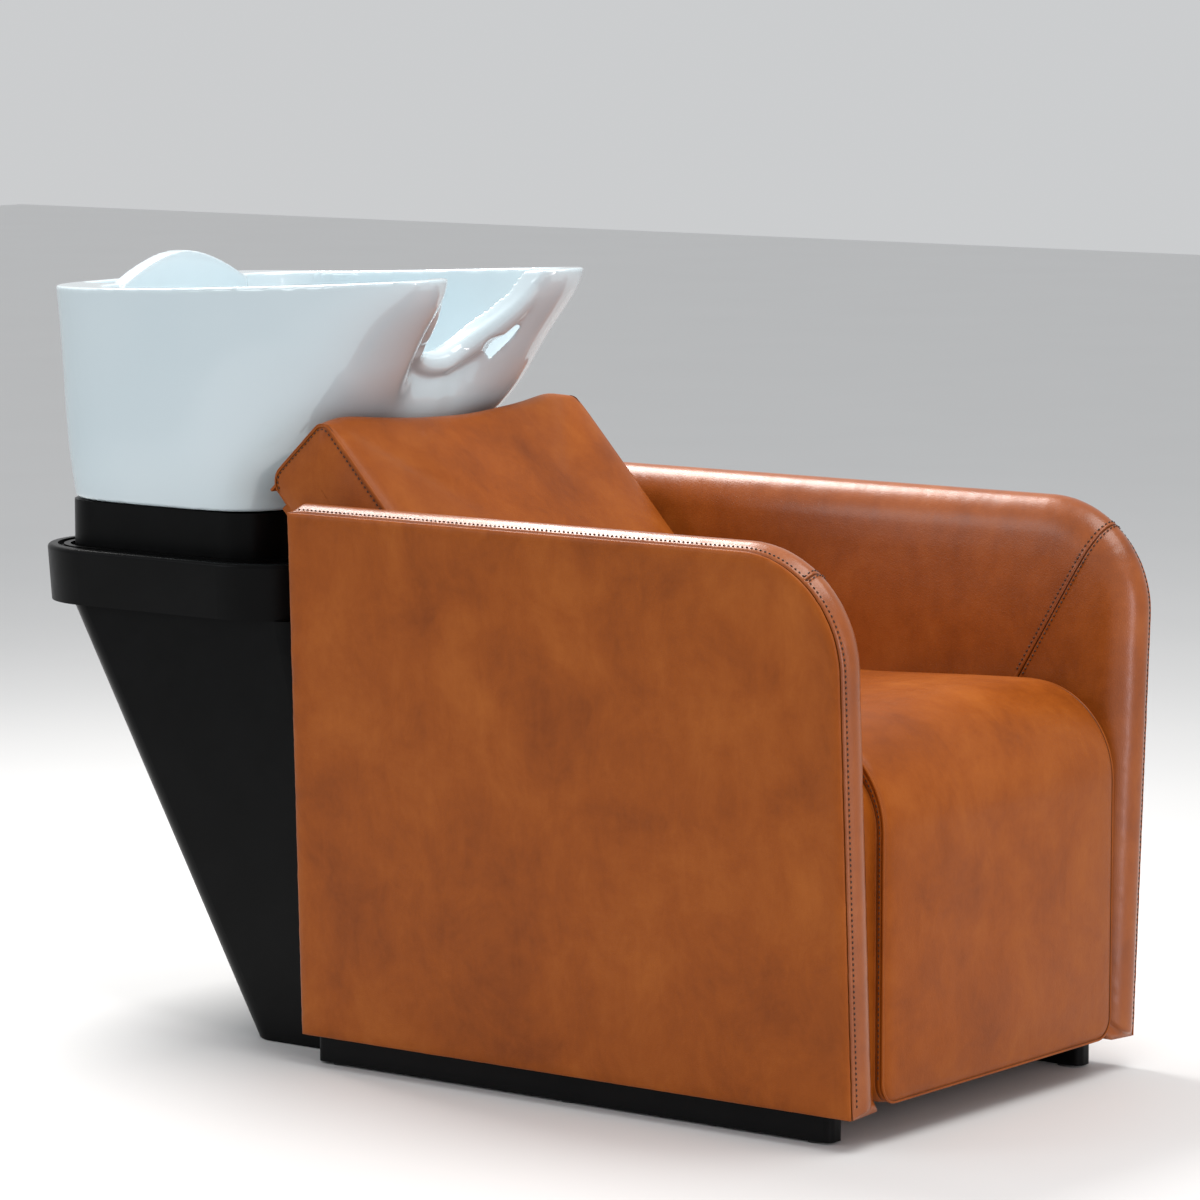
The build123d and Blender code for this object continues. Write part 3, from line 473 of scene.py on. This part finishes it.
def pad_profiles():
    """Matching (x, d) rows of the rolled edge and of the plain folded edge."""
    rolled = [(-0.0061, 0.0170), (-0.0060, 0.0040), (-0.0064, 0.0012), (-0.0072, -0.0006),
              (-0.0084, -0.0018), (-0.0098, -0.0025), (-0.0110, -0.0027), (-0.0125, -0.0036),
              (-0.0145, -0.0050), (-0.0170, -0.0064), (-0.0200, -0.0075), (-0.0230, -0.0080)]
    plain = [(-0.0061, 0.0170), (-0.0060, 0.0040)]
    plain += [(-0.0063 - 0.0047 * k / 10, 0.0) for k in range(10)]
    for step in range(1, 13):
        turn = math.radians(7.5 * step)
        drop = 0.0530 * (1 - math.cos(turn))
        rolled.append((-0.0230 - 0.0343 * math.sin(turn) ** 0.95, -0.0080 + drop))
        plain.append((-0.0110 - 0.0450 * step / 12, 0.0 if step < 12 else 0.0012))
    for d in (0.055, 0.068, 0.085, 0.12, 0.16, 0.21, 0.26, 0.312):
        bulge = 0.0015 * math.exp(-((d - 0.12) / 0.08) ** 2)
        rolled.append((-0.0573 - bulge, d))
        plain.append((-0.0573 - bulge, d))
    return rolled, plain


def arm_shell(name, profiles, material, push):
    """An arm skin from (x, d) rows; push moves each vertex a little off the plain form."""
    samples = arm_outline()
    verts = []
    for rolled, plain in zip(*profiles):
        for sample in samples:
            w = sample[4]
            x = rolled[0] * w + plain[0] * (1 - w)
            d = rolled[1] * w + plain[1] * (1 - w)
            verts.append(arm_point(sample, x + push(sample, d), d))
    count = len(samples)
    rows = len(profiles[0])
    faces = ring_faces(rows, count)
    faces.append(tuple((rows - 1) * count + k for k in range(count)))
    thing = new_object(name, verts, faces, material)
    # The first two rows, the turned-in edge at the seam, get painted seam shade.
    shade_seam(thing, 2 * count)
    tidy_mesh(thing, 0.00003)
    return thing


# the mitre seam across the arm's corner: its upper end and its direction, in (y, z)
SEAM_TOP = (-0.615, 0.644)
SEAM_RUN = (0.4896, -0.8720)


def cut_groove(thing, origin, normal, depth, keep):
    """Cut edge loops beside a seam plane and press a narrow groove between two soft ridges."""
    bm = bmesh.new()
    bm.from_mesh(thing.data)
    for shift in (-0.007, -0.0045, -0.003, -0.0018, -0.0009, 0.0, 0.0009, 0.0018, 0.003, 0.0045, 0.007):
        everything = bm.verts[:] + bm.edges[:] + bm.faces[:]
        bmesh.ops.bisect_plane(bm, geom=everything, plane_co=origin + normal * shift, plane_no=normal)
    bm.normal_update()
    moves = []
    for v in bm.verts:
        gap = (v.co - origin).dot(normal)
        if abs(gap) < 0.0075 and keep(v.co):
            trough = -depth * math.exp(-(gap / 0.0008) ** 2)
            ridge = 0.5 * depth * math.exp(-((abs(gap) - 0.0024) / 0.0013) ** 2)
            moves.append((v, v.normal * (trough + ridge)))
    for v, move in moves:
        v.co += move
    # Faces in the groove take the darker seam leather: painted shade.
    for face in bm.faces:
        centre = face.calc_center_median()
        if abs((centre - origin).dot(normal)) < 0.0010 and keep(centre):
            face.material_index = 1
    bm.to_mesh(thing.data)
    bm.free()


def seam_guide(offset):
    """Guide points across the roll and down the inner face, beside the mitre seam."""
    across = Vector((0.0, -SEAM_RUN[1], SEAM_RUN[0])) * offset
    guide = []
    rolled = pad_profiles()[0]
    for x, d in rolled[4:24]:
        y = SEAM_TOP[0] + SEAM_RUN[0] * d * 1.05
        z = SEAM_TOP[1] + SEAM_RUN[1] * d * 1.05
        guide.append(splay(x, y, z) + across)
    for run in np.linspace(0.04, 0.205, 34):
        y, z = SEAM_TOP[0] + SEAM_RUN[0] * run, SEAM_TOP[1] + SEAM_RUN[1] * run
        guide.append(splay(-0.0575, y, z) + across)
    return guide


def edge_row(x, d, z_low):
    """Guide points along the top and front strip, beside the outer seam."""
    row = []
    for sample in arm_outline():
        if sample[4] > 0.5 and sample[1] > z_low:
            row.append(arm_point(sample, x, d))
    return row


def make_arm(side):
    """One arm: its flat side, its rolled pad with the mitre seam, and the stitches beside them."""
    panel = arm_shell(f"arm_side_leather_{side}", (PANEL_PROFILE, PANEL_PROFILE), LEATHER, pucker)
    pad = arm_shell(f"arm_pad_leather_{side}", pad_profiles(), POLISHED,
                    lambda sample, d: 0.9 * pucker(sample, d) if sample[4] > 0.9 else 0.0)
    normal = Vector((0.0, -SEAM_RUN[1], SEAM_RUN[0])).normalized()
    origin = Vector((0.0, SEAM_TOP[0], SEAM_TOP[1]))
    cut_groove(pad, origin, normal, 0.0016, lambda co: co.z > 0.40 and co.x < splay(-0.0085, 0, co.z).x)
    tree = surface_tree(pad)
    rows = [seam_guide(0.0046), seam_guide(-0.0046), edge_row(-0.0102, -0.0026, 0.05)]
    stitches = stitch_mesh(f"arm_stitches_{side}", rows, tree, length=0.0040, radius=0.0009)
    if side == "right":
        for thing in (panel, pad, stitches):
            thing.data.transform(Matrix.Scale(-1, 4, Vector((1, 0, 0))))
            thing.data.flip_normals()
    place(panel, "base", "leather", f"arm_outer_panel_{side}")
    place(pad, "base", "leather", f"arm_pad_{side}")
    place(stitches, "base", "leather")


# ---- upholstered panels that follow a path ------------------------------------------------
def sheet_with_edges(u_half, length, margin, corner_low, corner_high, profile, grid, space):
    """A panel in (u, s) with an edge profile of (d, n) rows and a crowned grid inside its margin.

    space(u, s, n) gives the 3D point; grid is (columns, rows)."""
    us = np.linspace(-u_half + margin, u_half - margin, grid[0])
    ss = np.linspace(margin, length - margin, grid[1])

    def corner(cu, cs, radius, start):
        """A quarter turn of the rim as (u, s, inward u, inward s)."""
        points = []
        for turn in np.linspace(start, start + 90, 9):
            c, s = math.cos(math.radians(turn)), math.sin(math.radians(turn))
            points.append((cu + radius * c, cs + radius * s, -c, -s))
        return points

    rim = []
    low, high = corner_low, corner_high
    rim += corner(u_half - low, low, low, 270)
    rim += [(u_half, s, -1.0, 0.0) for s in ss]
    rim += corner(u_half - high, length - high, high, 0)
    rim += [(u, length, 0.0, -1.0) for u in us[::-1]]
    rim += corner(-u_half + high, length - high, high, 90)
    rim += [(-u_half, s, 1.0, 0.0) for s in ss[::-1]]
    rim += corner(-u_half + low, low, low, 180)
    rim += [(u, 0.0, 0.0, 1.0) for u in us]
    verts = []
    for d, n in profile:
        for u, s, du, ds in rim:
            pu, ps = u + du * d, s + ds * d
            if d > 0:
                pu = min(max(pu, -u_half + d), u_half - d)
                ps = min(max(ps, d), length - d)
            verts.append(space(pu, ps, n))
    count = len(rim)
    faces = ring_faces(len(profile), count)
    base = len(verts)
    n_in = profile[-1][1]
    for s in ss:
        for u in us:
            verts.append(space(u, s, n_in))
    for j in range(grid[1] - 1):
        for i in range(grid[0] - 1):
            a = base + j * grid[0] + i
            faces.append((a, a + 1, a + 1 + grid[0], a + grid[0]))
    return verts, faces


# ---- seat cushion -------------------------------------------------------------------------
FRONT_RUN = SEAT_TOP - SEAT_BEND - SEAT_BOTTOM
BEND_RUN = math.pi / 2 * SEAT_BEND
SEAT_RUN = FRONT_RUN + BEND_RUN + (SEAT_REAR - SEAT_FRONT - SEAT_BEND)


def seat_frame(s):
    """Point and outward normal in the side view at a distance along the seat panel."""
    if s < FRONT_RUN:
        return SEAT_FRONT, SEAT_BOTTOM + s, -1.0, 0.0
    if s < FRONT_RUN + BEND_RUN:
        turn = (s - FRONT_RUN) / SEAT_BEND
        c, q = math.cos(turn), math.sin(turn)
        return (SEAT_FRONT + SEAT_BEND - SEAT_BEND * c, SEAT_TOP - SEAT_BEND + SEAT_BEND * q, -c, q)
    run = s - FRONT_RUN - BEND_RUN
    whole = SEAT_REAR - SEAT_FRONT - SEAT_BEND
    fall = SEAT_FALL * min(1.0, run / whole) ** 1.15
    return SEAT_FRONT + SEAT_BEND + run, SEAT_TOP - fall, 0.0, 1.0


def seat_space(u, s, n):
    """3D point of the seat panel: across, along the run, and out from its surface."""
    y, z, ny, nz = seat_frame(s)
    if n < 0:
        n *= 1 + 0.72 * smooth_step(s, FRONT_RUN, FRONT_RUN + BEND_RUN)
    inside = max(0.0, 1 - (abs(u) / SEAT_HALF) ** 3.2) * smooth_step(s, 0.0, 0.06)
    crown = 0.0065 * inside
    bend = math.exp(-((s - FRONT_RUN - 0.6 * BEND_RUN) / 0.09) ** 2)
    slack = 0.0006 * inside * bend * wobble(u * 0.7 + 0.35 * s, s * 3.2, 0.3, 0.045)
    top = smooth_step(s, FRONT_RUN + BEND_RUN * 0.7, FRONT_RUN + BEND_RUN * 1.3)
    radial = 0.0007 * inside * top * wobble(u * 0.55, s * 2.4 + 1.4 * u * u, 2.0, 0.034)
    settle = 0.0016 * inside * wobble(u, s, 5.0, 0.16)
    push = n + (crown + slack + radial + settle if n > -0.004 else 0.0)
    return Vector((u, y + ny * push, z + nz * push))


# (d, n) rows of the seat's border: the hidden flange, the side band, its welt and the top edge
SEAT_EDGE = [(0.0300, -0.0440), (0.0060, -0.0440), (0.0010, -0.0425), (0.0, -0.0400), (-0.0012, -0.0300),
             (-0.0016, -0.0200), (-0.0010, -0.0130), (0.0004, -0.0098), (0.0010, -0.0088), (0.0006, -0.0078),
             (-0.0002, -0.0060), (0.0, -0.0040), (0.0010, -0.0028), (0.0004, -0.0024), (-0.0008, -0.0014),
             (-0.0012, 0.0), (-0.0006, 0.0013), (0.0006, 0.0018), (0.0018, 0.0012), (0.0024, 0.0001),
             (0.0030, 0.0002), (0.0042, 0.0012), (0.0065, 0.0022), (0.0100, 0.0030), (0.0150, 0.0034),
             (0.0220, 0.0036), (0.0300, 0.0037)]


def make_seat():
    """The seat's one-piece cover over front, bend and top, with its underside and stitches."""
    margin = 0.030
    across, down = 110, 250
    verts, faces = sheet_with_edges(SEAT_HALF, SEAT_RUN, margin, 0.026, 0.004, SEAT_EDGE,
                                    (across, down), seat_space)
    under = len(verts)
    columns = np.linspace(-SEAT_HALF + margin, SEAT_HALF - margin, 12)
    rows = np.linspace(margin, SEAT_RUN - margin, 60)
    for s in rows:
        for u in columns:
            verts.append(seat_space(u, s, -0.0440))
    for j in range(59):
        for i in range(11):
            a = under + j * 12 + i
            faces.append((a, a + 12, a + 13, a + 1))
    seat = new_object("seat_leather", verts, faces, LEATHER)
    around = 4 * 9 + 2 * across + 2 * down
    # The welt and top-edge rows get painted seam shade.
    shade_seam(seat, around, 7 * around)
    shade_seam(seat, around, 18 * around)
    tidy_mesh(seat, 0.00004)
    tree = surface_tree(seat)
    rows = []
    for side in (-1, 1):
        beside = side * (SEAT_HALF + 0.0005)
        rows.append([seat_space(beside, s, -0.0052) for s in np.linspace(0.028, SEAT_RUN - 0.02, 260)])
    foot = np.linspace(-SEAT_HALF + margin, SEAT_HALF - margin, 60)
    rows.append([seat_space(u, -0.0004, -0.0052) for u in foot])
    stitches = stitch_mesh("seat_stitches", rows, tree, pitch=0.006)
    place(seat, "base", "leather", "seat_cushion")
    place(stitches, "base", "leather")


# ---- rear cover ---------------------------------------------------------------------------
def make_rear_cover():
    """Upholstered board between the arms at the chair's back, with a welted edge."""
    low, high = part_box("rear_cover")
    half_low = ARM_OUTER_X - ARM_THICK - 0.001
    lean = math.tan(ARM_SPLAY)
    length = high.z - low.z

    def space(u, s, n):
        half = half_low + s * lean
        soft = 0.0035 * max(0.0, 1 - abs(u) ** 4) * math.sin(math.pi * min(1.0, max(0.0, s / length)))
        ripple = 0.0006 * wobble(u * 0.24, s, 9.0, 0.06)
        return Vector((u / 0.24 * half, high.y + n + (soft + ripple if n > -0.003 else 0.0), low.z + s))

    profile = [(0.0200, -0.0118), (0.0, -0.0118), (0.0, -0.0060), (0.0004, -0.0036), (0.0016, -0.0012),
               (0.0034, -0.0004), (0.0050, -0.0014), (0.0058, -0.0030), (0.0066, -0.0016), (0.0090, 0.0),
               (0.0140, 0.0010), (0.0200, 0.0014)]
    verts, faces = sheet_with_edges(0.24, length, 0.020, 0.012, 0.012, profile, (60, 60), space)
    cover = new_object("rear_cover_leather", verts, faces, LEATHER)
    around = 4 * 9 + 4 * 60
    # A row in the welt gets painted seam shade.
    shade_seam(cover, around, 6 * around)
    tidy_mesh(cover, 0.00004)
    tree = surface_tree(cover)
    heights = np.linspace(0.015, length - 0.015, 120)
    rows = [[space(side * 0.2285, s, 0.0) for s in heights] for side in (-1, 1)]
    rows.append([space(u, 0.0115, 0.0) for u in np.linspace(-0.225, 0.225, 120)])
    stitches = stitch_mesh("rear_cover_stitches", rows, tree)
    place(cover, "base", "leather", "rear_cover")
    place(stitches, "base", "leather")


# ---- backrest cushion ---------------------------------------------------------------------
DOWN = Vector((-math.sin(BACK_LEAN), -math.cos(BACK_LEAN)))
BACK = Vector((math.cos(BACK_LEAN), -math.sin(BACK_LEAN)))
FACE_LENGTH = (BACK_TOP.y - BACK_FOOT) / math.cos(BACK_LEAN)
BACK_ROUND = 0.017
REAR_ROUND = 0.022


def back_outline():
    """The cushion's side view as (along, through, normal along, normal through)."""
    points = []
    face = FACE_LENGTH - BACK_ROUND
    for share in np.linspace(0, 1, 110):
        points.append((FACE_LENGTH - face * share, 0.0, 0.0, -1.0))
    for turn in np.linspace(0, 90, 14)[1:]:
        c, s = math.cos(math.radians(turn)), math.sin(math.radians(turn))
        points.append((BACK_ROUND - BACK_ROUND * s, BACK_ROUND - BACK_ROUND * c, -s, -c))
    for share in np.linspace(0, 1, 22)[1:]:
        points.append((0.0, BACK_ROUND + (BACK_THICK - BACK_ROUND - REAR_ROUND) * share, -1.0, 0.0))
    for turn in np.linspace(0, 90, 12)[1:]:
        c, s = math.cos(math.radians(turn)), math.sin(math.radians(turn))
        points.append((REAR_ROUND - REAR_ROUND * c, BACK_THICK - REAR_ROUND + REAR_ROUND * s, -c, s))
    return points


def back_place(u, along, through):
    """3D point of the backrest cushion, with the saddle in its top edge."""
    near_top = smooth_step(FACE_LENGTH - along, FACE_LENGTH - 0.26, FACE_LENGTH)
    dip = BACK_DIP * max(0.0, 1 - (u / BACK_HALF) ** 2) * near_top
    outer = max(0.0, (abs(u) - BACK_HALF + EAR_REACH) / EAR_REACH)
    ear = EAR_DROP * outer ** 2.2 * smooth_step(0.10 - along, 0.0, 0.10)
    along += dip + ear
    flat = BACK_TOP + DOWN * along + BACK * through
    return Vector((u, flat.x, flat.y))


def back_panel_point(u, sample, lift):
    """A point of the backrest's front panel, crowned and lightly creased below its corners."""
    along, through, na, nt = sample
    edge = (BACK_HALF - abs(u)) / BACK_HALF
    swell = 0.55 + 0.45 * math.sin(math.pi * min(1, along / FACE_LENGTH))
    crown = 0.0100 * (1 - math.exp(-edge / 0.085)) * swell
    fold = 0.0016 * wobble(u * 1.1, along * 1.1, 3.0, 0.11) * min(1.0, edge * 6)
    slant = (abs(u) - 0.18) * 0.75 + (along - 0.055) * 0.66
    corner_fold = -0.0040 * math.exp(-(slant / 0.020) ** 2) * smooth_step(abs(u), 0.05, 0.14)
    corner_fold *= math.exp(-(along / 0.16) ** 2)
    push = lift + (crown + fold + corner_fold if lift > -0.002 else 0.0)
    along += na * push
    through += nt * push
    return back_place(u, along, through)


def make_backrest():
    """The backrest's front panel, its two side gussets with stitches, and the lining behind."""
    outline = back_outline()
    edge = [(0.0, -0.0030), (-0.0003, -0.0015), (0.0004, -0.0002), (0.0016, 0.0004), (0.0030, -0.0002),
            (0.0042, 0.0001), (0.0060, 0.0006), (0.0090, 0.0008), (0.0140, 0.0008)]
    inner = np.linspace(0.020, 2 * BACK_HALF - 0.020, 104)
    columns = [(-BACK_HALF + d, n) for d, n in edge]
    columns += [(-BACK_HALF + d, 0.0008) for d in inner]
    columns += [(BACK_HALF - d, n) for d, n in reversed(edge)]
    verts, faces = [], []
    for sample in outline:
        for u, lift in columns:
            verts.append(back_panel_point(u, sample, lift))
    wide = len(columns)
    for j in range(len(outline) - 1):
        for i in range(wide - 1):
            a = j * wide + i
            faces.append((a, a + wide, a + wide + 1, a + 1))
    panel = new_object("backrest_leather", verts, faces, LEATHER)
    tidy_mesh(panel)
    side_profile = [(0.0, -0.0010), (0.0, 0.0004), (0.0006, 0.0012), (0.0020, 0.0006),
                    (0.0032, 0.0010), (0.0060, 0.0018), (0.0120, 0.0034), (0.0220, 0.0052),
                    (0.0340, 0.0062), (0.0460, 0.0066), (0.0570, 0.0066)]
    closing = [(FACE_LENGTH - 0.03 * k, BACK_THICK, 0.0, 1.0) for k in range(1, 13)][::-1]
    foot = [(FACE_LENGTH, BACK_THICK * k / 4, 1.0, 0.0) for k in (4, 3, 2, 1)]
    loop = outline + closing + foot
    skins = []
    for side in (-1, 1):
        verts = []
        for d, bulge in side_profile:
            for along, through, na, nt in loop:
                a = min(max(along - na * d, d), FACE_LENGTH - d)
                t = min(max(through - nt * d, d), BACK_THICK - d)
                wave = 0.0012 * wobble(a, t, 1.0 + side, 0.05) * min(1.0, d / 0.02)
                point = back_place(side * (BACK_HALF - 0.0022), a, t)
                verts.append(point + Vector((side * (bulge + wave), 0, 0)))
        faces = ring_faces(len(side_profile), len(loop))
        faces.append(tuple((len(side_profile) - 1) * len(loop) + k for k in range(len(loop))))
        name = "left" if side > 0 else "right"
        skin = new_object(f"backrest_gusset_{name}", verts, faces, LEATHER)
        # The gusset's first row, along the seam, gets painted seam shade.
        shade_seam(skin, len(loop))
        tidy_mesh(skin, 0.00003)
        if side < 0:
            skin.data.flip_normals()
        tidy_mesh(skin)
        tree = surface_tree(skin)
        outside = side * (BACK_HALF + 0.001)
        inset = 0.0055
        row = [back_place(outside, s[0] - s[2] * inset, s[1] - s[3] * inset) for s in outline]
        stitches = stitch_mesh(f"backrest_stitches_{name}", [row], tree, pitch=0.0066, radius=0.0008)
        place(stitches, "base", "leather")
        skins.append(skin)
    rear = make_back_rear()
    place(panel, "base", "leather", "backrest_cushion")
    for piece in (*skins, rear):
        place(piece, "base", "leather")


def make_back_rear():
    """Plain lining over the cushion's back and foot."""
    verts, faces = [], []
    us = np.linspace(-BACK_HALF + 0.001, BACK_HALF - 0.001, 40)
    runs = np.linspace(REAR_ROUND - 0.002, FACE_LENGTH - 0.002, 40)
    for along in runs:
        for u in us:
            verts.append(back_place(u, along, BACK_THICK - 0.0005))
    for share in (0.66, 0.33, 0.0):
        for u in us:
            verts.append(back_place(u, FACE_LENGTH - 0.002, BACK_THICK * share))
    for j in range(len(runs) + 2):
        for i in range(len(us) - 1):
            a = j * len(us) + i
            faces.append((a, a + 1, a + 1 + len(us), a + len(us)))
    return new_object("backrest_lining", verts, faces, LEATHER)


# ---- basin --------------------------------------------------------------------------------
def lip_height(x):
    """Height of the neck notch's edge at x."""
    return LIP_Z + LIP_RISE * (abs(x) / LIP_HALF) ** LIP_POWER


def scoop_y(x):
    """How far back the notch's wall stands at x."""
    return WING_Y + (LIP_FRONT - WING_Y) / (1 + (abs(x) / SCOOP_HALF) ** 5)


def tube_mesh(name, points, radii, around=20):
    """A tube along points, with a radius at each and rounded ends."""
    verts, faces = [], []
    for k, (point, radius) in enumerate(zip(points, radii)):
        ahead = points[min(k + 1, len(points) - 1)] - points[max(k - 1, 0)]
        along = ahead.normalized()
        side = along.cross(Vector((0, 0, 1))).normalized()
        up = side.cross(along)
        for j in range(around):
            turn = 2 * math.pi * j / around
            verts.append(point + side * radius * math.cos(turn) + up * radius * math.sin(turn))
    faces = ring_faces(len(points), around)
    faces.append(tuple(reversed(range(around))))
    faces.append(tuple((len(points) - 1) * around + j for j in range(around)))
    return new_object(name, verts, faces, CERAMIC)


def lip_bead():
    """Rolled bead along the neck notch, standing proud of the wall below it."""
    points, radii = [], []
    half = 0.094
    for x in np.linspace(-half, half, 75):
        share = abs(x) / half
        radius = 0.0170 * (1 - 0.45 * share ** 3)
        slope = (scoop_y(x + 0.001) - scoop_y(x - 0.001)) / 0.002
        inward = Vector((-slope, 1.0)).normalized() * (radius - 0.0065 * (1 - share ** 4))
        height = min(lip_height(x), 0.931) - radius * 0.85
        points.append(Vector((x + inward.x, scoop_y(x) + inward.y, height)))
        radii.append(radius)
    return tube_mesh("lip_bead", points, radii)


def apply_modifiers(thing):
    """Replace the mesh with what its modifiers make of it."""
    bpy.context.view_layer.update()
    graph = bpy.context.evaluated_depsgraph_get()
    mesh = bpy.data.meshes.new_from_object(thing.evaluated_get(graph))
    thing.modifiers.clear()
    thing.data = mesh


def dent(mesh, centre, reach, move):
    """Push the surface that faces the move, near a point, fading to nothing at the reach."""
    mesh.update()
    shifts = []
    for v in mesh.vertices:
        gap = (v.co - centre).length / reach
        if gap < 1:
            facing = smooth_step(-v.normal.dot(move.normalized()), -0.2, 0.4)
            shifts.append((v, move * (1 - gap * gap) ** 2 * facing))
    for v, shift in shifts:
        v.co += shift


def make_basin():
    """The glazed basin: the CAD form and the lip bead fused, softened and pressed in.

    The dents are, in turn, the pinch at each end of the bead, the hollow of the flanks, and the
    room under the front that the backrest needs at the lowest tilt."""
    source = frame["nodes"]["basin"]
    body = bpy.data.objects.new("basin_glazed", source.data.copy())
    bpy.context.scene.collection.objects.link(body)
    bead = lip_bead()
    bm = bmesh.new()
    bm.from_mesh(body.data)
    bm.from_mesh(bead.data)
    bm.to_mesh(body.data)
    bm.free()
    bpy.data.objects.remove(bead)
    remesh = body.modifiers.new("skin", "REMESH")
    remesh.mode = "VOXEL"
    remesh.voxel_size = 0.0026
    soften = body.modifiers.new("soften", "SMOOTH")
    soften.factor = 0.5
    soften.iterations = 9
    apply_modifiers(body)
    for side in (-1, 1):
        dent(body.data, Vector((side * 0.072, 0.128, 0.838)), 0.022, Vector((-side * 0.003, 0.006, 0.004)))
        dent(body.data, Vector((side * 0.215, 0.255, 0.715)), 0.150, Vector((-side * 0.015, 0.003, 0.0)))
        dent(body.data, Vector((side * 0.095, 0.180, 0.752)), 0.110, Vector((0.0, 0.0042, 0.0040)))
    body.data.materials.clear()
    body.data.materials.append(CERAMIC)
    body.data.polygons.foreach_set("use_smooth", [True] * len(body.data.polygons))
    place(body, "basin_head", "ceramic", "basin")


def make_hoses():
    """The braided hoses between the valves on the base and the mixer on the basin, copied from the CAD hoses
    as they are.
    """
    hoses = bpy.data.objects.new("supply_hoses_flexible", frame["nodes"]["supply_hoses"].data.copy())
    bpy.context.scene.collection.objects.link(hoses)
    hoses.data.materials.clear()
    hoses.data.materials.append(BRAID)
    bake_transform(hoses)
    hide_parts("supply_hoses")


# ---- stage --------------------------------------------------------------------------------
def flat_material(name, colour, rough):
    s = Shader(name)
    s.colour(s.ramp(s.noise(2.0, 2.0), [(0.3, tuple(0.985 * c for c in colour)), (0.7, colour)]))
    s.set(Roughness=rough)
    return s.material


def area_light(name, place_at, target, size, power, colour):
    data = bpy.data.lights.new(name, "AREA")
    data.shape = "RECTANGLE"
    data.size, data.size_y = size
    data.energy = power
    data.color = colour
    lamp = bpy.data.objects.new(name, data)
    lamp.location = place_at
    lamp.rotation_euler = (Vector(target) - Vector(place_at)).to_track_quat("-Z", "Y").to_euler()
    bpy.context.scene.collection.objects.link(lamp)


def make_stage():
    """Pale floor, even sky and four soft lights."""
    reach = 14
    verts = [(-reach, -reach, 0), (reach, -reach, 0), (reach, reach, 0), (-reach, reach, 0)]
    pale = flat_material("pale_floor", (0.76, 0.76, 0.76), 0.6)
    floor = new_object("studio_floor", verts, [(0, 1, 2, 3)], pale)
    world = bpy.data.worlds.new("studio")
    world.use_nodes = True
    background = world.node_tree.nodes["Background"]
    background.inputs["Color"].default_value = (0.97, 0.985, 1.0, 1.0)
    background.inputs["Strength"].default_value = 0.62
    bpy.context.scene.world = world
    area_light("top_softbox", (-0.2, -1.5, 3.3), (0, -0.1, 0.5), (2.2, 1.8), 66, (1.0, 0.985, 0.955))
    area_light("rear_softbox", (0.5, 1.5, 2.7), (0.2, -0.3, 0.6), (1.3, 1.1), 84, (1.0, 0.97, 0.94))
    area_light("front_strip", (-1.9, -3.9, 0.9), (0.2, -0.3, 0.4), (0.4, 1.8), 34, (1.0, 0.88, 0.93))
    area_light("side_softbox", (-3.4, 2.2, 2.0), (0, 0.3, 0.8), (1.4, 1.4), 22, (0.90, 0.97, 1.0))


def make_camera():
    """Low three-quarter view from the right front, through a long lens."""
    yaw, pitch = 0.922, 0.1242
    data = bpy.data.cameras.new("camera")
    data.sensor_width = 36.0
    data.lens = 5483.5 / 1200 * 36.0
    data.clip_end = 60.0
    camera = bpy.data.objects.new("camera", data)
    camera.location = (-5.2275, -4.0491, 1.3687)
    ahead = Vector((math.sin(yaw) * math.cos(pitch), math.cos(yaw) * math.cos(pitch), -math.sin(pitch)))
    camera.rotation_euler = ahead.to_track_quat("-Z", "Y").to_euler()
    bpy.context.scene.collection.objects.link(camera)
    bpy.context.scene.camera = camera


# ---- build --------------------------------------------------------------------------------
bpy.context.scene.view_settings.view_transform = "Standard"
make_camera()
make_stage()
finish_cad_nodes()
make_arm("left")
make_arm("right")
make_seat()
make_rear_cover()
make_backrest()
make_basin()
make_hoses()
